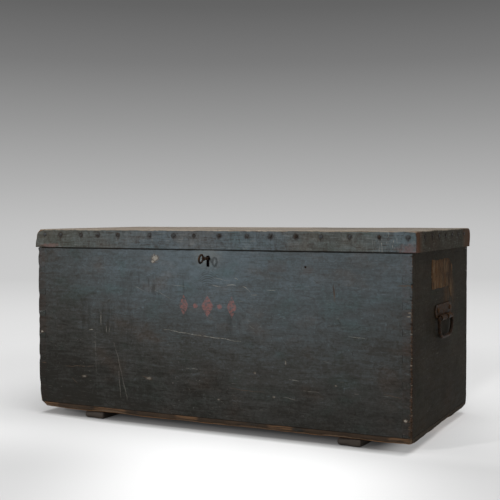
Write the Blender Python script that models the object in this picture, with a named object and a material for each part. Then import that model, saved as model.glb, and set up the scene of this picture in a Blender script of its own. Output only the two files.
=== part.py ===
"""A joiner's tool chest: a dovetailed carcase on two skids, a rimmed lid, a box lock and its key, drop handles
and two sliding tills.

Metres, +Z up. X runs along the chest and the front faces -Y. The origin is the bottom centre of the box
that holds the whole chest, from the bow of the key in front to the hinge knuckles behind.
"""

import math

import bmesh
import bpy
from mathutils import Vector

# Fits that every piece shares.
gap = 0.0003
overrun = 0.002
round_sides = 16

# Carcase: four dovetailed walls on nailed bottom boards.
body_length = 1.016
body_depth = 0.485
wall_height = 0.406
board_t = 0.022
bottom_t = 0.014
bottom_boards = ("front", "middle", "back")

# Dovetails: tails on the front and back boards, pins on the end boards.
tail_count = 7
pin_width = 0.010
tail_slope = 6

# Skids: two battens under the bottom, running front to back.
skid_height = 0.018
skid_width = 0.060
skid_setback = 0.003
skid_round = 0.011
skid_insets = {"left": 0.141, "right": 0.118}

# Lid: boards held in a nailed rim, with two cleats under them.
lid_gap = 0.0006
rim_height = 0.047
rim_t = 0.022
lid_overhang = 0.009
lid_back_inset = 0.004
lid_board_t = 0.022
lid_boards = ("front", "middle", "back")
cleat_width = 0.060
cleat_t = 0.016
cleat_inset = 0.230
rim_round = 0.004

# Clout nails round the rim. Those on its front stand unevenly, at these shares of its length from the left.
front_nail_shares = (
    0.031, 0.080, 0.142, 0.194, 0.252, 0.343, 0.410, 0.465,
    0.532, 0.603, 0.662, 0.725, 0.784, 0.852, 0.918, 0.982,
)
nail_drop = 0.0135
nail_r = 0.0048
nail_dome = 0.0016
nail_sunk = 0.001
nail_sides = 10
crown_shares = ((1.0, 0.25), (0.72, 0.78), (0.30, 1.0))
back_nail_count = 12
back_nail_inset = 0.040
end_nail_count = 7
end_nail_inset = 0.066

# Butt hinges, let into the top of the back board and the underside of the rim.
hinge_names = ("left", "middle", "right")
hinge_inset = 0.150
hinge_length = 0.076
hinge_leaf_t = 0.0025
hinge_leaf_depth = 0.019
knuckle_r = 0.0045
knuckle_clear = 0.0005
hinge_pin_r = 0.0022
hinge_bore_clear = 0.0003
knuckle_gap = 0.0005
pin_head_r = 0.0036
pin_head_t = 0.0015

# Box lock, let into the inside of the front board under its top edge.
lock_x = 0.002
key_drop = 0.020
lock_width = 0.090
lock_below = 0.024
lock_depth = 0.0135
lock_plate_t = 0.002
lock_wall_t = 0.002
selvedge_t = 0.0025
cap_t = 0.002
drill_pin_r = 0.0018
drill_pin_length = 0.0080

# Bolt, its throw and the hook that it holds.
bolt_throw = 0.012
bolt_t = 0.004
bolt_height = 0.0057
bolt_head = 0.0228
bolt_tail = 0.034
bolt_slit = 0.0007
bolt_slit_length = 0.016
bolt_leaf_t = 0.0018
talon_bite = 0.002
talon_play = 0.0007
hook_x = 0.024
hook_width = 0.004
hook_leg = 0.003
hook_foot = 0.0025
hook_play = 0.0008
hook_toe_clear = 0.0012
link_length = 0.070
link_width = 0.0125
link_t = 0.0025
link_front = 0.009

# Ward, a broken ring on the lock's cap that only the right key passes.
ward_r = 0.0085
ward_t = 0.0015
ward_height = 0.0025
ward_opening = math.radians(36)
ward_clear = 0.0004

# Key, a pipe key standing in the lock.
shank_r = 0.0035
pipe_clear = 0.0004
pipe_spare = 0.0008
bit_t = 0.0026
bit_length = 0.0081
bit_sunk = 0.0005
collar_r = 0.0052
collar_t = 0.0032
bow_out = 0.0335
bow_r = 0.0104
bow_bar_r = 0.0021
bow_segments = 28
bow_sides = 8
bow_shank_lap = 0.0012

# Keyholes, a round top over a slot: one through the wood, a closer one through the cap.
wood_hole_r = 0.0065
wood_slot_width = 0.0055
wood_slot_drop = 0.0175
cap_hole_clear = 0.0006
cap_slot_clear = 0.0004
keyhole_points = 14

# Drop handles, one on each end, just behind the middle: a plate rolled into two knuckles round a bail's ends.
handle_behind_middle = 0.0055
handle_below_top = 0.160
plate_width = 0.144
plate_rise = 0.031
plate_t = 0.0025
plate_corner = 0.010
roll_inner = 0.007
roll_setback = 0.023
roll_clear = 0.00045
bail_bar_r = 0.0042
bail_arm_clear = 0.008
bail_drop = 0.047
bail_top_bend = 0.0072
bail_bottom_bend = 0.030
bail_end = 0.010
bend_step = math.radians(15)
rivet_setback = 0.021
rivet_rise = 0.018
rivet_r = 0.003
rivet_head_r = 0.0065
rivet_head_t = 0.0028
rivet_rove_t = 0.0015

# Tills, two sliding trays, and the runners that carry them from end to end of the chest.
till_depth = 0.200
till_side_t = 0.011
till_bottom_t = 0.007
till_play = 0.001
till_spacing = 0.006
runner_height = 0.016
upper_till_height = 0.080
lower_till_height = 0.096
upper_runner_t = 0.012
lower_runner_t = 0.025

# Levels and places that follow from the sizes above.
bottom_low = skid_height + gap
wall_low = bottom_low + bottom_t + gap
wall_top = wall_low + wall_height
lid_low = wall_top + lid_gap
lid_top = lid_low + rim_height
half_length = body_length / 2
half_lid = half_length + lid_overhang

knuckle_out = knuckle_r + knuckle_clear
key_reach = bow_out + bow_r + bow_bar_r
front_y = (key_reach - body_depth - knuckle_out - knuckle_r) / 2
back_y = front_y + body_depth
inner_front = front_y + board_t
inner_back = back_y - board_t
inner_half = half_length - board_t

hinge_y = back_y + knuckle_out
hinge_z = wall_top + lid_gap / 2
lid_back = back_y - lid_back_inset
rim_inner_front = front_y + rim_t
rim_inner_back = lid_back - rim_t
lid_inner_half = half_lid - rim_t

key_z = wall_top - key_drop
lock_front = inner_front - lock_depth
cap_back = lock_front + cap_t
plate_front = inner_front - lock_plate_t
selvedge_low = wall_top - selvedge_t
bolt_back = plate_front - gap
bolt_front = bolt_back - bolt_t
bolt_high = selvedge_low - gap
bolt_low = bolt_high - bolt_height
bit_reach = bolt_low - key_z + talon_bite
bit_swing = math.hypot(bit_reach, bit_t / 2)
talon_half = math.sqrt(bit_swing**2 - (bolt_low - key_z) ** 2) + talon_play
key_inner_end = plate_front - 2 * gap

hook_left = lock_x + hook_x
hook_right = hook_left + hook_width
hook_front = bolt_front - hook_play - hook_leg
hook_back = plate_front - hook_toe_clear
link_low = (lock_x - link_length / 2, front_y + link_front, lid_low)
link_high = (lock_x + link_length / 2, front_y + link_front + link_width, lid_low + link_t)

roll_r = bail_bar_r + roll_clear + plate_t
handle_out = gap + roll_r
roll_outer = plate_width / 2 - roll_setback
bail_half = roll_outer + bail_arm_clear
rivet_half = plate_width / 2 - rivet_setback
handle_y = front_y + body_depth / 2 + handle_behind_middle
handle_z = wall_top - handle_below_top
rivet_places = (handle_y - rivet_half, handle_y + rivet_half)

hinge_reach = half_length - hinge_inset
hinge_places = dict(zip(hinge_names, (-hinge_reach, 0.0, hinge_reach)))

upper_till_low = wall_top - till_spacing - upper_till_height
lower_till_low = upper_till_low - till_spacing - lower_till_height


def clear_scene():
    """Removes every object of the open scene."""
    for old in list(bpy.data.objects):
        bpy.data.objects.remove(old, do_unlink=True)


def finish(name, colour, roughness, metallic=0.0):
    """A Principled material of one colour, roughness and metallic value."""
    made = bpy.data.materials.new(name)
    made.use_nodes = True
    shader = made.node_tree.nodes["Principled BSDF"]
    shader.inputs["Base Color"].default_value = (*colour, 1.0)
    shader.inputs["Roughness"].default_value = roughness
    shader.inputs["Metallic"].default_value = metallic
    made.diffuse_color = (*colour, 1.0)
    return made


def painted(name):
    return finish(name + "_paint", (0.030, 0.040, 0.043), 0.62)


def bare_wood(name):
    return finish(name + "_pine", (0.33, 0.21, 0.12), 0.75)


def worn_wood(name):
    return finish(name + "_worn_wood", (0.11, 0.075, 0.050), 0.80)


def rusty_iron(name):
    return finish(name + "_iron", (0.090, 0.050, 0.032), 0.72, 0.65)


def dark_steel(name):
    return finish(name + "_steel", (0.16, 0.15, 0.14), 0.45, 0.9)


def empty_at(name, place):
    """An empty that marks a joint's axis and carries the pieces that move about it."""
    made = bpy.data.objects.new(name, None)
    bpy.context.collection.objects.link(made)
    made.location = place
    made["home"] = tuple(place)
    return made


def piece(name, mesh, material, origin, parent=None):
    """An object whose mesh was drawn in the chest's own frame, with its origin moved to the given point."""
    origin = Vector(origin)
    for vertex in mesh.verts:
        vertex.co -= origin
    bmesh.ops.recalc_face_normals(mesh, faces=mesh.faces)
    data = bpy.data.meshes.new(name)
    mesh.to_mesh(data)
    mesh.free()
    made = bpy.data.objects.new(name, data)
    bpy.context.collection.objects.link(made)
    made["home"] = tuple(origin)
    made.parent = parent
    made.location = origin - Vector(parent["home"]) if parent else origin
    if material:
        data.materials.append(material)
    return made


def shape(target, operation, mesh, label):
    """Cuts a mesh from a piece, or joins it to the piece, with a Boolean that follows the piece."""
    tool = piece(f"{target.name}_{label}", mesh, None, target["home"], target)
    tool.hide_render = True
    tool.display_type = "WIRE"
    modifier = target.modifiers.new(label, "BOOLEAN")
    modifier.operation = operation
    modifier.object = tool


def smooth(target, angle=math.radians(35)):
    target.data.shade_smooth()
    target.data.set_sharp_from_angle(angle=angle)


def prism(outline, axis, start, end):
    """A closed solid with one outline all along an axis. Its points hold the other two coordinates."""
    mesh = bmesh.new()
    add_prism(mesh, outline, axis, start, end)
    return mesh


def add_prism(mesh, outline, axis, start, end):
    def corner(point, along):
        place = list(point)
        place.insert("XYZ".index(axis), along)
        return mesh.verts.new(place)

    low = [corner(point, start) for point in outline]
    high = [corner(point, end) for point in outline]
    mesh.faces.new(low)
    mesh.faces.new(high)
    for i, (a, b) in enumerate(zip(low, high)):
        following = (i + 1) % len(outline)
        mesh.faces.new((a, low[following], high[following], b))


def block(low, high):
    (x0, y0, z0), (x1, y1, z1) = low, high
    return prism(((x0, y0), (x1, y0), (x1, y1), (x0, y1)), "Z", z0, z1)


def centre_of(low, high):
    return [(a + b) / 2 for a, b in zip(low, high)]


def board(name, low, high, material, parent=None):
    return piece(name, block(low, high), material, centre_of(low, high), parent)


def circle(centre, radius, sides=round_sides):
    """Points of a circle, the first of them on the second coordinate's own axis."""
    turns = [2 * math.pi * i / sides for i in range(sides)]
    return [(centre[0] + radius * math.sin(t), centre[1] + radius * math.cos(t)) for t in turns]


def arc(centre, radius, start, end, steps):
    turns = [start + (end - start) * i / steps for i in range(steps + 1)]
    return [(centre[0] + radius * math.cos(t), centre[1] + radius * math.sin(t)) for t in turns]


def add_dome(mesh, centre, axis, outward, radius, rise, sunk):
    """A nail or rivet head: a sunk disc, a shoulder at the surface and a small flat crown."""
    along = "XYZ".index(axis)
    first, second = [i for i in range(3) if i != along]
    levels = [(radius, -sunk)] + [(radius * wide, rise * high) for wide, high in crown_shares]
    rings = []
    for ring_r, height in levels:
        ring = []
        for u, v in circle((centre[first], centre[second]), ring_r, nail_sides):
            place = [u, v]
            place.insert(along, centre[along] + outward * height)
            ring.append(mesh.verts.new(place))
        rings.append(ring)
    mesh.faces.new(rings[0])
    mesh.faces.new(rings[-1])
    for lower, upper in zip(rings, rings[1:]):
        for i in range(nail_sides):
            following = (i + 1) % nail_sides
            mesh.faces.new((lower[i], lower[following], upper[following], upper[i]))


def round_edges(mesh, chosen, radius, segments=2):
    """Rounds the edges of a mesh whose two ends both pass the given test."""
    edges = [edge for edge in mesh.edges if all(chosen(vertex.co) for vertex in edge.verts)]
    bmesh.ops.bevel(mesh, geom=edges, offset=radius, segments=segments, affect="EDGES", profile=0.5)


def tail_half(x, grow=0.0):
    """Half the height of a tail at a distance x from the chest's middle: it narrows inwards by the slope."""
    pitch = wall_height / tail_count
    return (pitch - pin_width) / 2 - (half_length - x) / tail_slope + grow


def tail_edge(x_root, x_tip, grow=0.0):
    """The zigzag of one end of a tail board, from bottom to top, on the right-hand side."""
    pitch = wall_height / tail_count
    points = []
    for k in range(tail_count):
        middle = wall_low + (k + 0.5) * pitch
        root, tip = tail_half(x_root, grow), tail_half(x_tip, grow)
        points += [(x_root, middle - root), (x_tip, middle - tip)]
        points += [(x_tip, middle + tip), (x_root, middle + root)]
    return points


def mirrored(points):
    return [(-u, v) for u, v in reversed(points)]


def tail_board_outline():
    """The front and back boards seen square on: a shoulder at each end, with the tails standing out of it."""
    shoulder = inner_half - gap
    right = [(shoulder, wall_low)] + tail_edge(shoulder, half_length) + [(shoulder, wall_top)]
    return right + mirrored(right)


def socket_comb(side):
    """What the tails take out of an end board: a gap larger all round, joined by a spine inside the chest."""
    shoulder = inner_half - gap
    teeth = tail_edge(shoulder, half_length + overrun, gap)
    spine = shoulder - overrun
    comb = [(spine, wall_low - overrun)] + teeth + [(spine, wall_top + overrun)]
    return comb if side > 0 else mirrored(comb)


def keyhole(radius, slot_width, slot_drop):
    """A round hole about the key's axis with a slot hanging from it."""
    half = slot_width / 2
    start = math.asin(half / radius)
    turn = [start + (2 * math.pi - 2 * start) * i / keyhole_points for i in range(keyhole_points + 1)]
    outline = [(lock_x - radius * math.sin(t), key_z - radius * math.cos(t)) for t in turn]
    return outline + [(lock_x + half, key_z - slot_drop), (lock_x - half, key_z - slot_drop)]


def leaf_recess(x, z0, z1):
    """The housing of one hinge leaf, open towards the back."""
    half = hinge_length / 2 + gap
    depth = back_y - hinge_leaf_depth - gap
    return block((x - half, depth, z0), (x + half, back_y + overrun, z1))


def make_walls():
    outline = tail_board_outline()
    front = piece(
        "front_board",
        prism(outline, "Y", front_y, inner_front),
        painted("front_board"),
        (0, front_y + board_t / 2, wall_low),
    )
    half = lock_width / 2 + gap
    mortise = block(
        (lock_x - half, lock_front - gap, key_z - lock_below - gap),
        (lock_x + half, inner_front + overrun, wall_top + overrun),
    )
    shape(front, "DIFFERENCE", mortise, "lock_mortise")
    hole = prism(
        keyhole(wood_hole_r, wood_slot_width, wood_slot_drop), "Y", front_y - overrun, lock_front + overrun
    )
    shape(front, "DIFFERENCE", hole, "keyhole")

    back = piece(
        "back_board",
        prism(outline, "Y", inner_back, back_y),
        painted("back_board"),
        (0, back_y - board_t / 2, wall_low),
    )
    for name, x in hinge_places.items():
        recess = leaf_recess(x, wall_top - hinge_leaf_t - gap, wall_top + overrun)
        shape(back, "DIFFERENCE", recess, name + "_hinge_recess")

    for name, side in (("left", -1), ("right", 1)):
        inner, outer = sorted((side * inner_half, side * half_length))
        low, high = (inner, front_y, wall_low), (outer, back_y, wall_top)
        end = board(name + "_end_board", low, high, painted(name + "_end_board"))
        comb = socket_comb(side)
        front_comb = prism(comb, "Y", front_y - overrun, inner_front + gap)
        back_comb = prism(comb, "Y", inner_back - gap, back_y + overrun)
        shape(end, "DIFFERENCE", front_comb, "front_sockets")
        shape(end, "DIFFERENCE", back_comb, "back_sockets")
        shape(end, "DIFFERENCE", rivet_holes(inner, outer), "rivet_holes")


def make_bottom():
    width = (body_depth - (len(bottom_boards) - 1) * gap) / len(bottom_boards)
    for i, place in enumerate(bottom_boards):
        y = front_y + i * (width + gap)
        low, high = (-half_length, y, bottom_low), (half_length, y + width, bottom_low + bottom_t)
        name = f"bottom_board_{place}"
        board(name, low, high, worn_wood(name))


def make_skids():
    half = skid_width / 2
    worn = arc((-half + skid_round, skid_round), skid_round, math.pi, 1.5 * math.pi, 4)
    outline = worn + [(half, 0), (half, skid_height), (-half, skid_height)]
    for (name, inset), side in zip(skid_insets.items(), (-1, 1)):
        x = side * (half_length - inset - half)
        solid = prism([(x + u, v) for u, v in outline], "Y", front_y + skid_setback, back_y - skid_setback)
        piece(name + "_skid", solid, worn_wood(name + "_skid"), (x, (front_y + back_y) / 2, 0))


def make_runners():
    for level, thickness, z in (
        ("upper", upper_runner_t, upper_till_low - gap),
        ("lower", lower_runner_t, lower_till_low - gap),
    ):
        for name, side in (("left", -1), ("right", 1)):
            wall = side * (inner_half - gap)
            inner, outer = sorted((wall, wall - side * thickness))
            low = (inner, inner_front + gap, z - runner_height)
            high = (outer, inner_back - gap, z)
            label = f"{level}_runner_{name}"
            board(label, low, high, bare_wood(label))


def make_till(level, low_z, height, runner_above):
    """An open tray with the ends between its long sides and the bottom nailed under all four."""
    half = inner_half - gap - runner_above - till_play
    y1 = inner_back - till_play
    y0 = y1 - till_depth
    slide = empty_at(level + "_till_slide", (0, (y0 + y1) / 2, low_z))
    side_low, side_high = low_z + till_bottom_t + gap, low_z + height
    inside = half - till_side_t
    walls = {
        "front": ((-half, y0, side_low), (half, y0 + till_side_t, side_high)),
        "back": ((-half, y1 - till_side_t, side_low), (half, y1, side_high)),
        "left_end": ((-half, y0 + till_side_t + gap, side_low), (-inside, y1 - till_side_t - gap, side_high)),
        "right_end": ((inside, y0 + till_side_t + gap, side_low), (half, y1 - till_side_t - gap, side_high)),
        "bottom": ((-half, y0, low_z), (half, y1, low_z + till_bottom_t)),
    }
    for place, (low, high) in walls.items():
        name = f"{level}_till_{place}"
        board(name, low, high, bare_wood(name), slide)


def rim_nails(places, z, y, outward):
    mesh = bmesh.new()
    for x in places:
        add_dome(mesh, (x, y, z), "Y", outward, nail_r, nail_dome, nail_sunk)
    return mesh


def spaced(first, last, count):
    return [first + (last - first) * i / (count - 1) for i in range(count)]


def make_lid(lid):
    nail_z = lid_top - nail_drop

    low, high = (-half_lid, front_y, lid_low), (half_lid, rim_inner_front, lid_top)
    mesh = block(low, high)
    round_edges(mesh, lambda v: v.y < front_y + gap and v.z > lid_top - gap, rim_round)
    round_edges(mesh, lambda v: abs(v.x) > half_lid - gap and v.y < front_y + gap, rim_round)
    front = piece("lid_front_rim", mesh, painted("lid_front_rim"), centre_of(low, high), lid)
    places = [(2 * share - 1) * half_lid for share in front_nail_shares]
    shape(front, "UNION", rim_nails(places, nail_z, front_y, -1), "nails")
    recess = block(
        (link_low[0] - gap, link_low[1] - gap, lid_low - overrun),
        [place + gap for place in link_high],
    )
    shape(front, "DIFFERENCE", recess, "link_recess")

    low, high = (-half_lid, rim_inner_back, lid_low), (half_lid, lid_back, lid_top)
    mesh = block(low, high)
    round_edges(mesh, lambda v: v.y > lid_back - gap and v.z > lid_top - gap, rim_round)
    round_edges(mesh, lambda v: abs(v.x) > half_lid - gap and v.y > lid_back - gap, rim_round)
    back = piece("lid_back_rim", mesh, painted("lid_back_rim"), centre_of(low, high), lid)
    ends = half_lid - back_nail_inset
    shape(back, "UNION", rim_nails(spaced(-ends, ends, back_nail_count), nail_z, lid_back, 1), "nails")
    for name, x in hinge_places.items():
        recess = leaf_recess(x, lid_low - overrun, lid_low + hinge_leaf_t + gap)
        shape(back, "DIFFERENCE", recess, name + "_hinge_recess")

    for name, side in (("left", -1), ("right", 1)):
        inner, outer = sorted((side * lid_inner_half, side * half_lid))
        low = (inner, rim_inner_front + gap, lid_low)
        high = (outer, rim_inner_back - gap, lid_top)
        mesh = block(low, high)
        round_edges(mesh, lambda v: abs(v.x) > half_lid - gap and v.z > lid_top - gap, rim_round)
        rim = piece(f"lid_{name}_rim", mesh, painted(f"lid_{name}_rim"), centre_of(low, high), lid)
        heads = bmesh.new()
        for y in spaced(front_y + end_nail_inset, lid_back - end_nail_inset, end_nail_count):
            add_dome(heads, (side * half_lid, y, nail_z), "X", side, nail_r, nail_dome, nail_sunk)
        shape(rim, "UNION", heads, "nails")

    room = rim_inner_back - rim_inner_front - gap
    width = room / len(lid_boards) - gap
    for i, place in enumerate(lid_boards):
        y = rim_inner_front + gap + i * (width + gap)
        low = (-lid_inner_half + gap, y, lid_top - lid_board_t)
        high = (lid_inner_half - gap, y + width, lid_top)
        name = f"lid_board_{place}"
        board(name, low, high, painted(name), lid)

    cleat_top = lid_top - lid_board_t - gap
    for name, side in (("left", -1), ("right", 1)):
        x = side * (half_length - cleat_inset)
        low = (x - cleat_width / 2, rim_inner_front + gap, cleat_top - cleat_t)
        high = (x + cleat_width / 2, rim_inner_back - gap, cleat_top)
        board(f"lid_cleat_{name}", low, high, bare_wood(f"lid_cleat_{name}"), lid)


def knuckle_spans(x):
    """The three thirds of a hinge's barrel, from left to right: the lid's leaf has the middle one."""
    edges = spaced(x - hinge_length / 2, x + hinge_length / 2, 4)
    return [(a + knuckle_gap / 2, b - knuckle_gap / 2) for a, b in zip(edges, edges[1:])]


def make_leaf(name, x, level, own, others, parent):
    """A leaf with its own knuckles on the hinge's axis, cut back where the other leaf's knuckles turn."""
    half = hinge_length / 2
    z0, z1 = sorted((level, level + (hinge_leaf_t if parent else -hinge_leaf_t)))
    low = (x - half, back_y - hinge_leaf_depth, z0)
    high = (x + half, hinge_y, z1)
    leaf = piece(name, block(low, high), dark_steel(name), (x, hinge_y, hinge_z), parent)
    for i, (a, b) in enumerate(own):
        barrel = prism(circle((hinge_y, hinge_z), knuckle_r), "X", a, b)
        shape(leaf, "UNION", barrel, f"knuckle_{i}")
    for i, (a, b) in enumerate(others):
        room = block(
            (a - knuckle_gap, hinge_y - knuckle_out, hinge_z - knuckle_r),
            (b + knuckle_gap, hinge_y + knuckle_out, hinge_z + knuckle_r),
        )
        shape(leaf, "DIFFERENCE", room, f"room_{i}")
    bore = prism(
        circle((hinge_y, hinge_z), hinge_pin_r + hinge_bore_clear), "X", low[0] - overrun, high[0] + overrun
    )
    shape(leaf, "DIFFERENCE", bore, "bore")
    smooth(leaf)


def make_hinges(lid):
    for name, x in hinge_places.items():
        first, middle, last = knuckle_spans(x)
        label = f"hinge_{name}"
        make_leaf(label + "_lower_leaf", x, wall_top, (first, last), (middle,), None)
        make_leaf(label + "_upper_leaf", x, lid_low, (middle,), (first, last), lid)
        at = (hinge_y, hinge_z)
        pin = prism(circle(at, hinge_pin_r), "X", first[0], last[1])
        made = piece(label + "_pin", pin, dark_steel(label + "_pin"), (x, hinge_y, hinge_z))
        for end, outward in ((first[0] - gap, -1), (last[1] + gap, 1)):
            start, stop = sorted((end, end + outward * pin_head_t))
            head = prism(circle(at, pin_head_r), "X", start, stop)
            root, tip = sorted((end - outward * overrun, end + outward * gap))
            neck = prism(circle(at, hinge_pin_r), "X", root, tip)
            shape(made, "UNION", neck, "neck_left" if outward < 0 else "neck_right")
            shape(made, "UNION", head, "head_left" if outward < 0 else "head_right")
        smooth(made)


def make_lock(lid):
    half = lock_width / 2
    low = (lock_x - half, lock_front, key_z - lock_below)
    high = (lock_x + half, inner_front, wall_top)
    case = board("lock_case", low, high, rusty_iron("lock_case"))
    beside_cap = block(
        (low[0] - overrun, lock_front - overrun, low[2] - overrun),
        (high[0] + overrun, cap_back + gap, selvedge_low),
    )
    shape(case, "DIFFERENCE", beside_cap, "cap_seat")
    cavity = block(
        (low[0] + lock_wall_t, cap_back - overrun, low[2] + lock_wall_t),
        (high[0] - lock_wall_t, plate_front, selvedge_low),
    )
    shape(case, "DIFFERENCE", cavity, "cavity")
    slot = block(
        (hook_left - hook_play, hook_front - hook_play, selvedge_low - overrun),
        (hook_right + hook_play, hook_back + hook_play, wall_top + overrun),
    )
    shape(case, "DIFFERENCE", slot, "hook_slot")

    cap = board("lock_cap", low, (high[0], cap_back, selvedge_low - gap), rusty_iron("lock_cap"))
    hole = keyhole(shank_r + cap_hole_clear, bit_t + 2 * cap_slot_clear, bit_reach + 2 * cap_slot_clear)
    shape(cap, "DIFFERENCE", prism(hole, "Y", lock_front - overrun, cap_back + overrun), "keyhole")

    pin_end = plate_front - gap
    pin = prism(circle((lock_x, key_z), drill_pin_r), "Y", pin_end - drill_pin_length, pin_end)
    smooth(piece("lock_drill_pin", pin, dark_steel("lock_drill_pin"), (lock_x, pin_end, key_z)))

    start, stop = -math.pi / 2 + ward_opening / 2, 1.5 * math.pi - ward_opening / 2
    inner = arc((lock_x, key_z), ward_r, start, stop, round_sides)
    outer = arc((lock_x, key_z), ward_r + ward_t, stop, start, round_sides)
    ring = prism(inner + outer, "Y", cap_back + gap, cap_back + gap + ward_height)
    smooth(piece("lock_ward", ring, dark_steel("lock_ward"), (lock_x, cap_back, key_z)))

    make_bolt()
    make_link(lid)


def make_bolt():
    """A flat bar: a head that runs over the hook's foot, a talon for the key and a split tail, its spring."""
    head, tail = lock_x + bolt_head, lock_x - bolt_tail
    talon = lock_x - bolt_throw / 2
    talon_top = key_z + bit_swing + talon_play
    leaf_low = bolt_high - bolt_leaf_t
    slit_end = tail + bolt_slit_length
    outline = (
        (tail, bolt_low),
        (talon - talon_half, bolt_low),
        (talon - talon_half, talon_top),
        (talon + talon_half, talon_top),
        (talon + talon_half, bolt_low),
        (head, bolt_low),
        (head, bolt_high),
        (tail, bolt_high),
        (tail, leaf_low),
        (slit_end, leaf_low),
        (slit_end, leaf_low - bolt_slit),
        (tail, leaf_low - bolt_slit),
    )
    solid = prism(outline, "Y", bolt_front, bolt_back)
    piece("lock_bolt", solid, dark_steel("lock_bolt"), (lock_x, bolt_back, bolt_low))


def make_link(lid):
    """The plate under the rim, with the hook that hangs through the lock's top edge."""
    plate = board("lock_link_plate", link_low, link_high, rusty_iron("lock_link_plate"), lid)
    foot_top = bolt_low - hook_play
    leg_back, leg_top = hook_front + hook_leg, lid_low + link_t / 2
    outline = (
        (hook_front, foot_top - hook_foot),
        (hook_back, foot_top - hook_foot),
        (hook_back, foot_top),
        (leg_back, foot_top),
        (leg_back, leg_top),
        (hook_front, leg_top),
    )
    shape(plate, "UNION", prism(outline, "X", hook_left, hook_right), "hook")


def make_key():
    """Shank, collar and ring bow, with a warded bit hanging from the shank and a pipe bored into its end."""
    at = (lock_x, key_z)
    bow_y = front_y - bow_out
    shank = prism(circle(at, shank_r), "Y", bow_y + bow_r - bow_shank_lap, key_inner_end)
    key = piece("key", shank, rusty_iron("key"), (lock_x, front_y, key_z))

    collar_y = bow_y + bow_r + bow_bar_r
    shape(key, "UNION", prism(circle(at, collar_r), "Y", collar_y, collar_y + collar_t), "collar")

    bow = bmesh.new()
    rings = []
    for i in range(bow_segments):
        turn = 2 * math.pi * i / bow_segments
        ring = []
        for across, along in circle((0, bow_r), bow_bar_r, bow_sides):
            place = (lock_x + across, bow_y - along * math.cos(turn), key_z + along * math.sin(turn))
            ring.append(bow.verts.new(place))
        rings.append(ring)
    for i, ring in enumerate(rings):
        after = rings[(i + 1) % bow_segments]
        for j in range(bow_sides):
            following = (j + 1) % bow_sides
            bow.faces.new((ring[j], ring[following], after[following], after[j]))
    shape(key, "UNION", bow, "bow")

    front, back = key_inner_end - bit_length, key_inner_end
    slot_back = cap_back + gap + ward_height + ward_clear
    root, tip = key_z - shank_r + bit_sunk, key_z - bit_reach
    slot_high = key_z - ward_r + ward_clear
    slot_low = key_z - ward_r - ward_t - ward_clear
    outline = (
        (front, tip),
        (back, tip),
        (back, root),
        (front, root),
        (front, slot_high),
        (slot_back, slot_high),
        (slot_back, slot_low),
        (front, slot_low),
    )
    bit = prism(outline, "X", lock_x - bit_t / 2, lock_x + bit_t / 2)
    shape(key, "UNION", bit, "bit")

    pipe_depth = plate_front - gap - drill_pin_length - pipe_spare
    pipe = prism(circle(at, drill_pin_r + pipe_clear), "Y", pipe_depth, key_inner_end + overrun)
    shape(key, "DIFFERENCE", pipe, "pipe")
    smooth(key)


def rivet_holes(start, stop):
    """The holes that the two rivets of a handle need through a wall or plate between two places along X."""
    holes = bmesh.new()
    for y in rivet_places:
        at = (y, handle_z + rivet_rise)
        add_prism(holes, circle(at, rivet_r + gap), "X", start - overrun, stop + overrun)
    return holes


def bail_path():
    """Half of the bail from its inner end to the middle of its bar, as (along, down) from the pivot."""
    bend, sweep = bail_top_bend, bail_bottom_bend
    top_steps = round(math.pi / 2 / bend_step)
    half = [(bail_end, 0.0), ((bail_end + bail_half - bend) / 2, 0.0)]
    half += arc((bail_half - bend, -bend), bend, math.pi / 2, 0, top_steps)
    half += arc((bail_half - sweep, sweep - bail_drop), sweep, 0, -math.pi / 2, top_steps)
    return half


def make_handles():
    for name, side in (("left", -1), ("right", 1)):
        face = side * half_length
        axis_x = face + side * handle_out
        top = handle_z + plate_rise
        half, cut = plate_width / 2, plate_corner
        y = handle_y
        outline = (
            (y - half, handle_z + cut),
            (y - half + cut, handle_z),
            (y + half - cut, handle_z),
            (y + half, handle_z + cut),
            (y + half, top - cut),
            (y + half - cut, top),
            (y - half + cut, top),
            (y - half, top - cut),
        )
        start, stop = sorted((face + side * gap, face + side * (gap + plate_t)))
        label = f"{name}_handle_plate"
        plate = piece(label, prism(outline, "X", start, stop), rusty_iron(label), (axis_x, y, handle_z))
        for part, along in (("front", -1), ("back", 1)):
            span = sorted((y + along * roll_inner, y + along * roll_outer))
            shape(plate, "UNION", prism(circle((axis_x, handle_z), roll_r), "Y", *span), part + "_roll")
        bore_ring = circle((axis_x, handle_z), bail_bar_r + roll_clear)
        bore = prism(bore_ring, "Y", y - roll_outer - overrun, y + roll_outer + overrun)
        shape(plate, "DIFFERENCE", bore, "bore")
        shape(plate, "DIFFERENCE", rivet_holes(start, stop), "rivet_holes")
        smooth(plate)

        curve = bpy.data.curves.new(f"{name}_bail", "CURVE")
        curve.dimensions = "3D"
        curve.bevel_depth = bail_bar_r
        curve.bevel_resolution = 3
        curve.use_fill_caps = True
        half_path = bail_path()
        points = [(-u, v) for u, v in half_path] + half_path[::-1]
        spline = curve.splines.new("POLY")
        spline.points.add(len(points) - 1)
        for point, (u, v) in zip(spline.points, points):
            point.co = (0, u, v, 1)
        curve.materials.append(rusty_iron(f"{name}_bail"))
        bail = bpy.data.objects.new(f"{name}_bail", curve)
        bpy.context.collection.objects.link(bail)
        bail.location = (axis_x, y, handle_z)

        make_rivets(name, side, stop if side > 0 else start)


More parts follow.
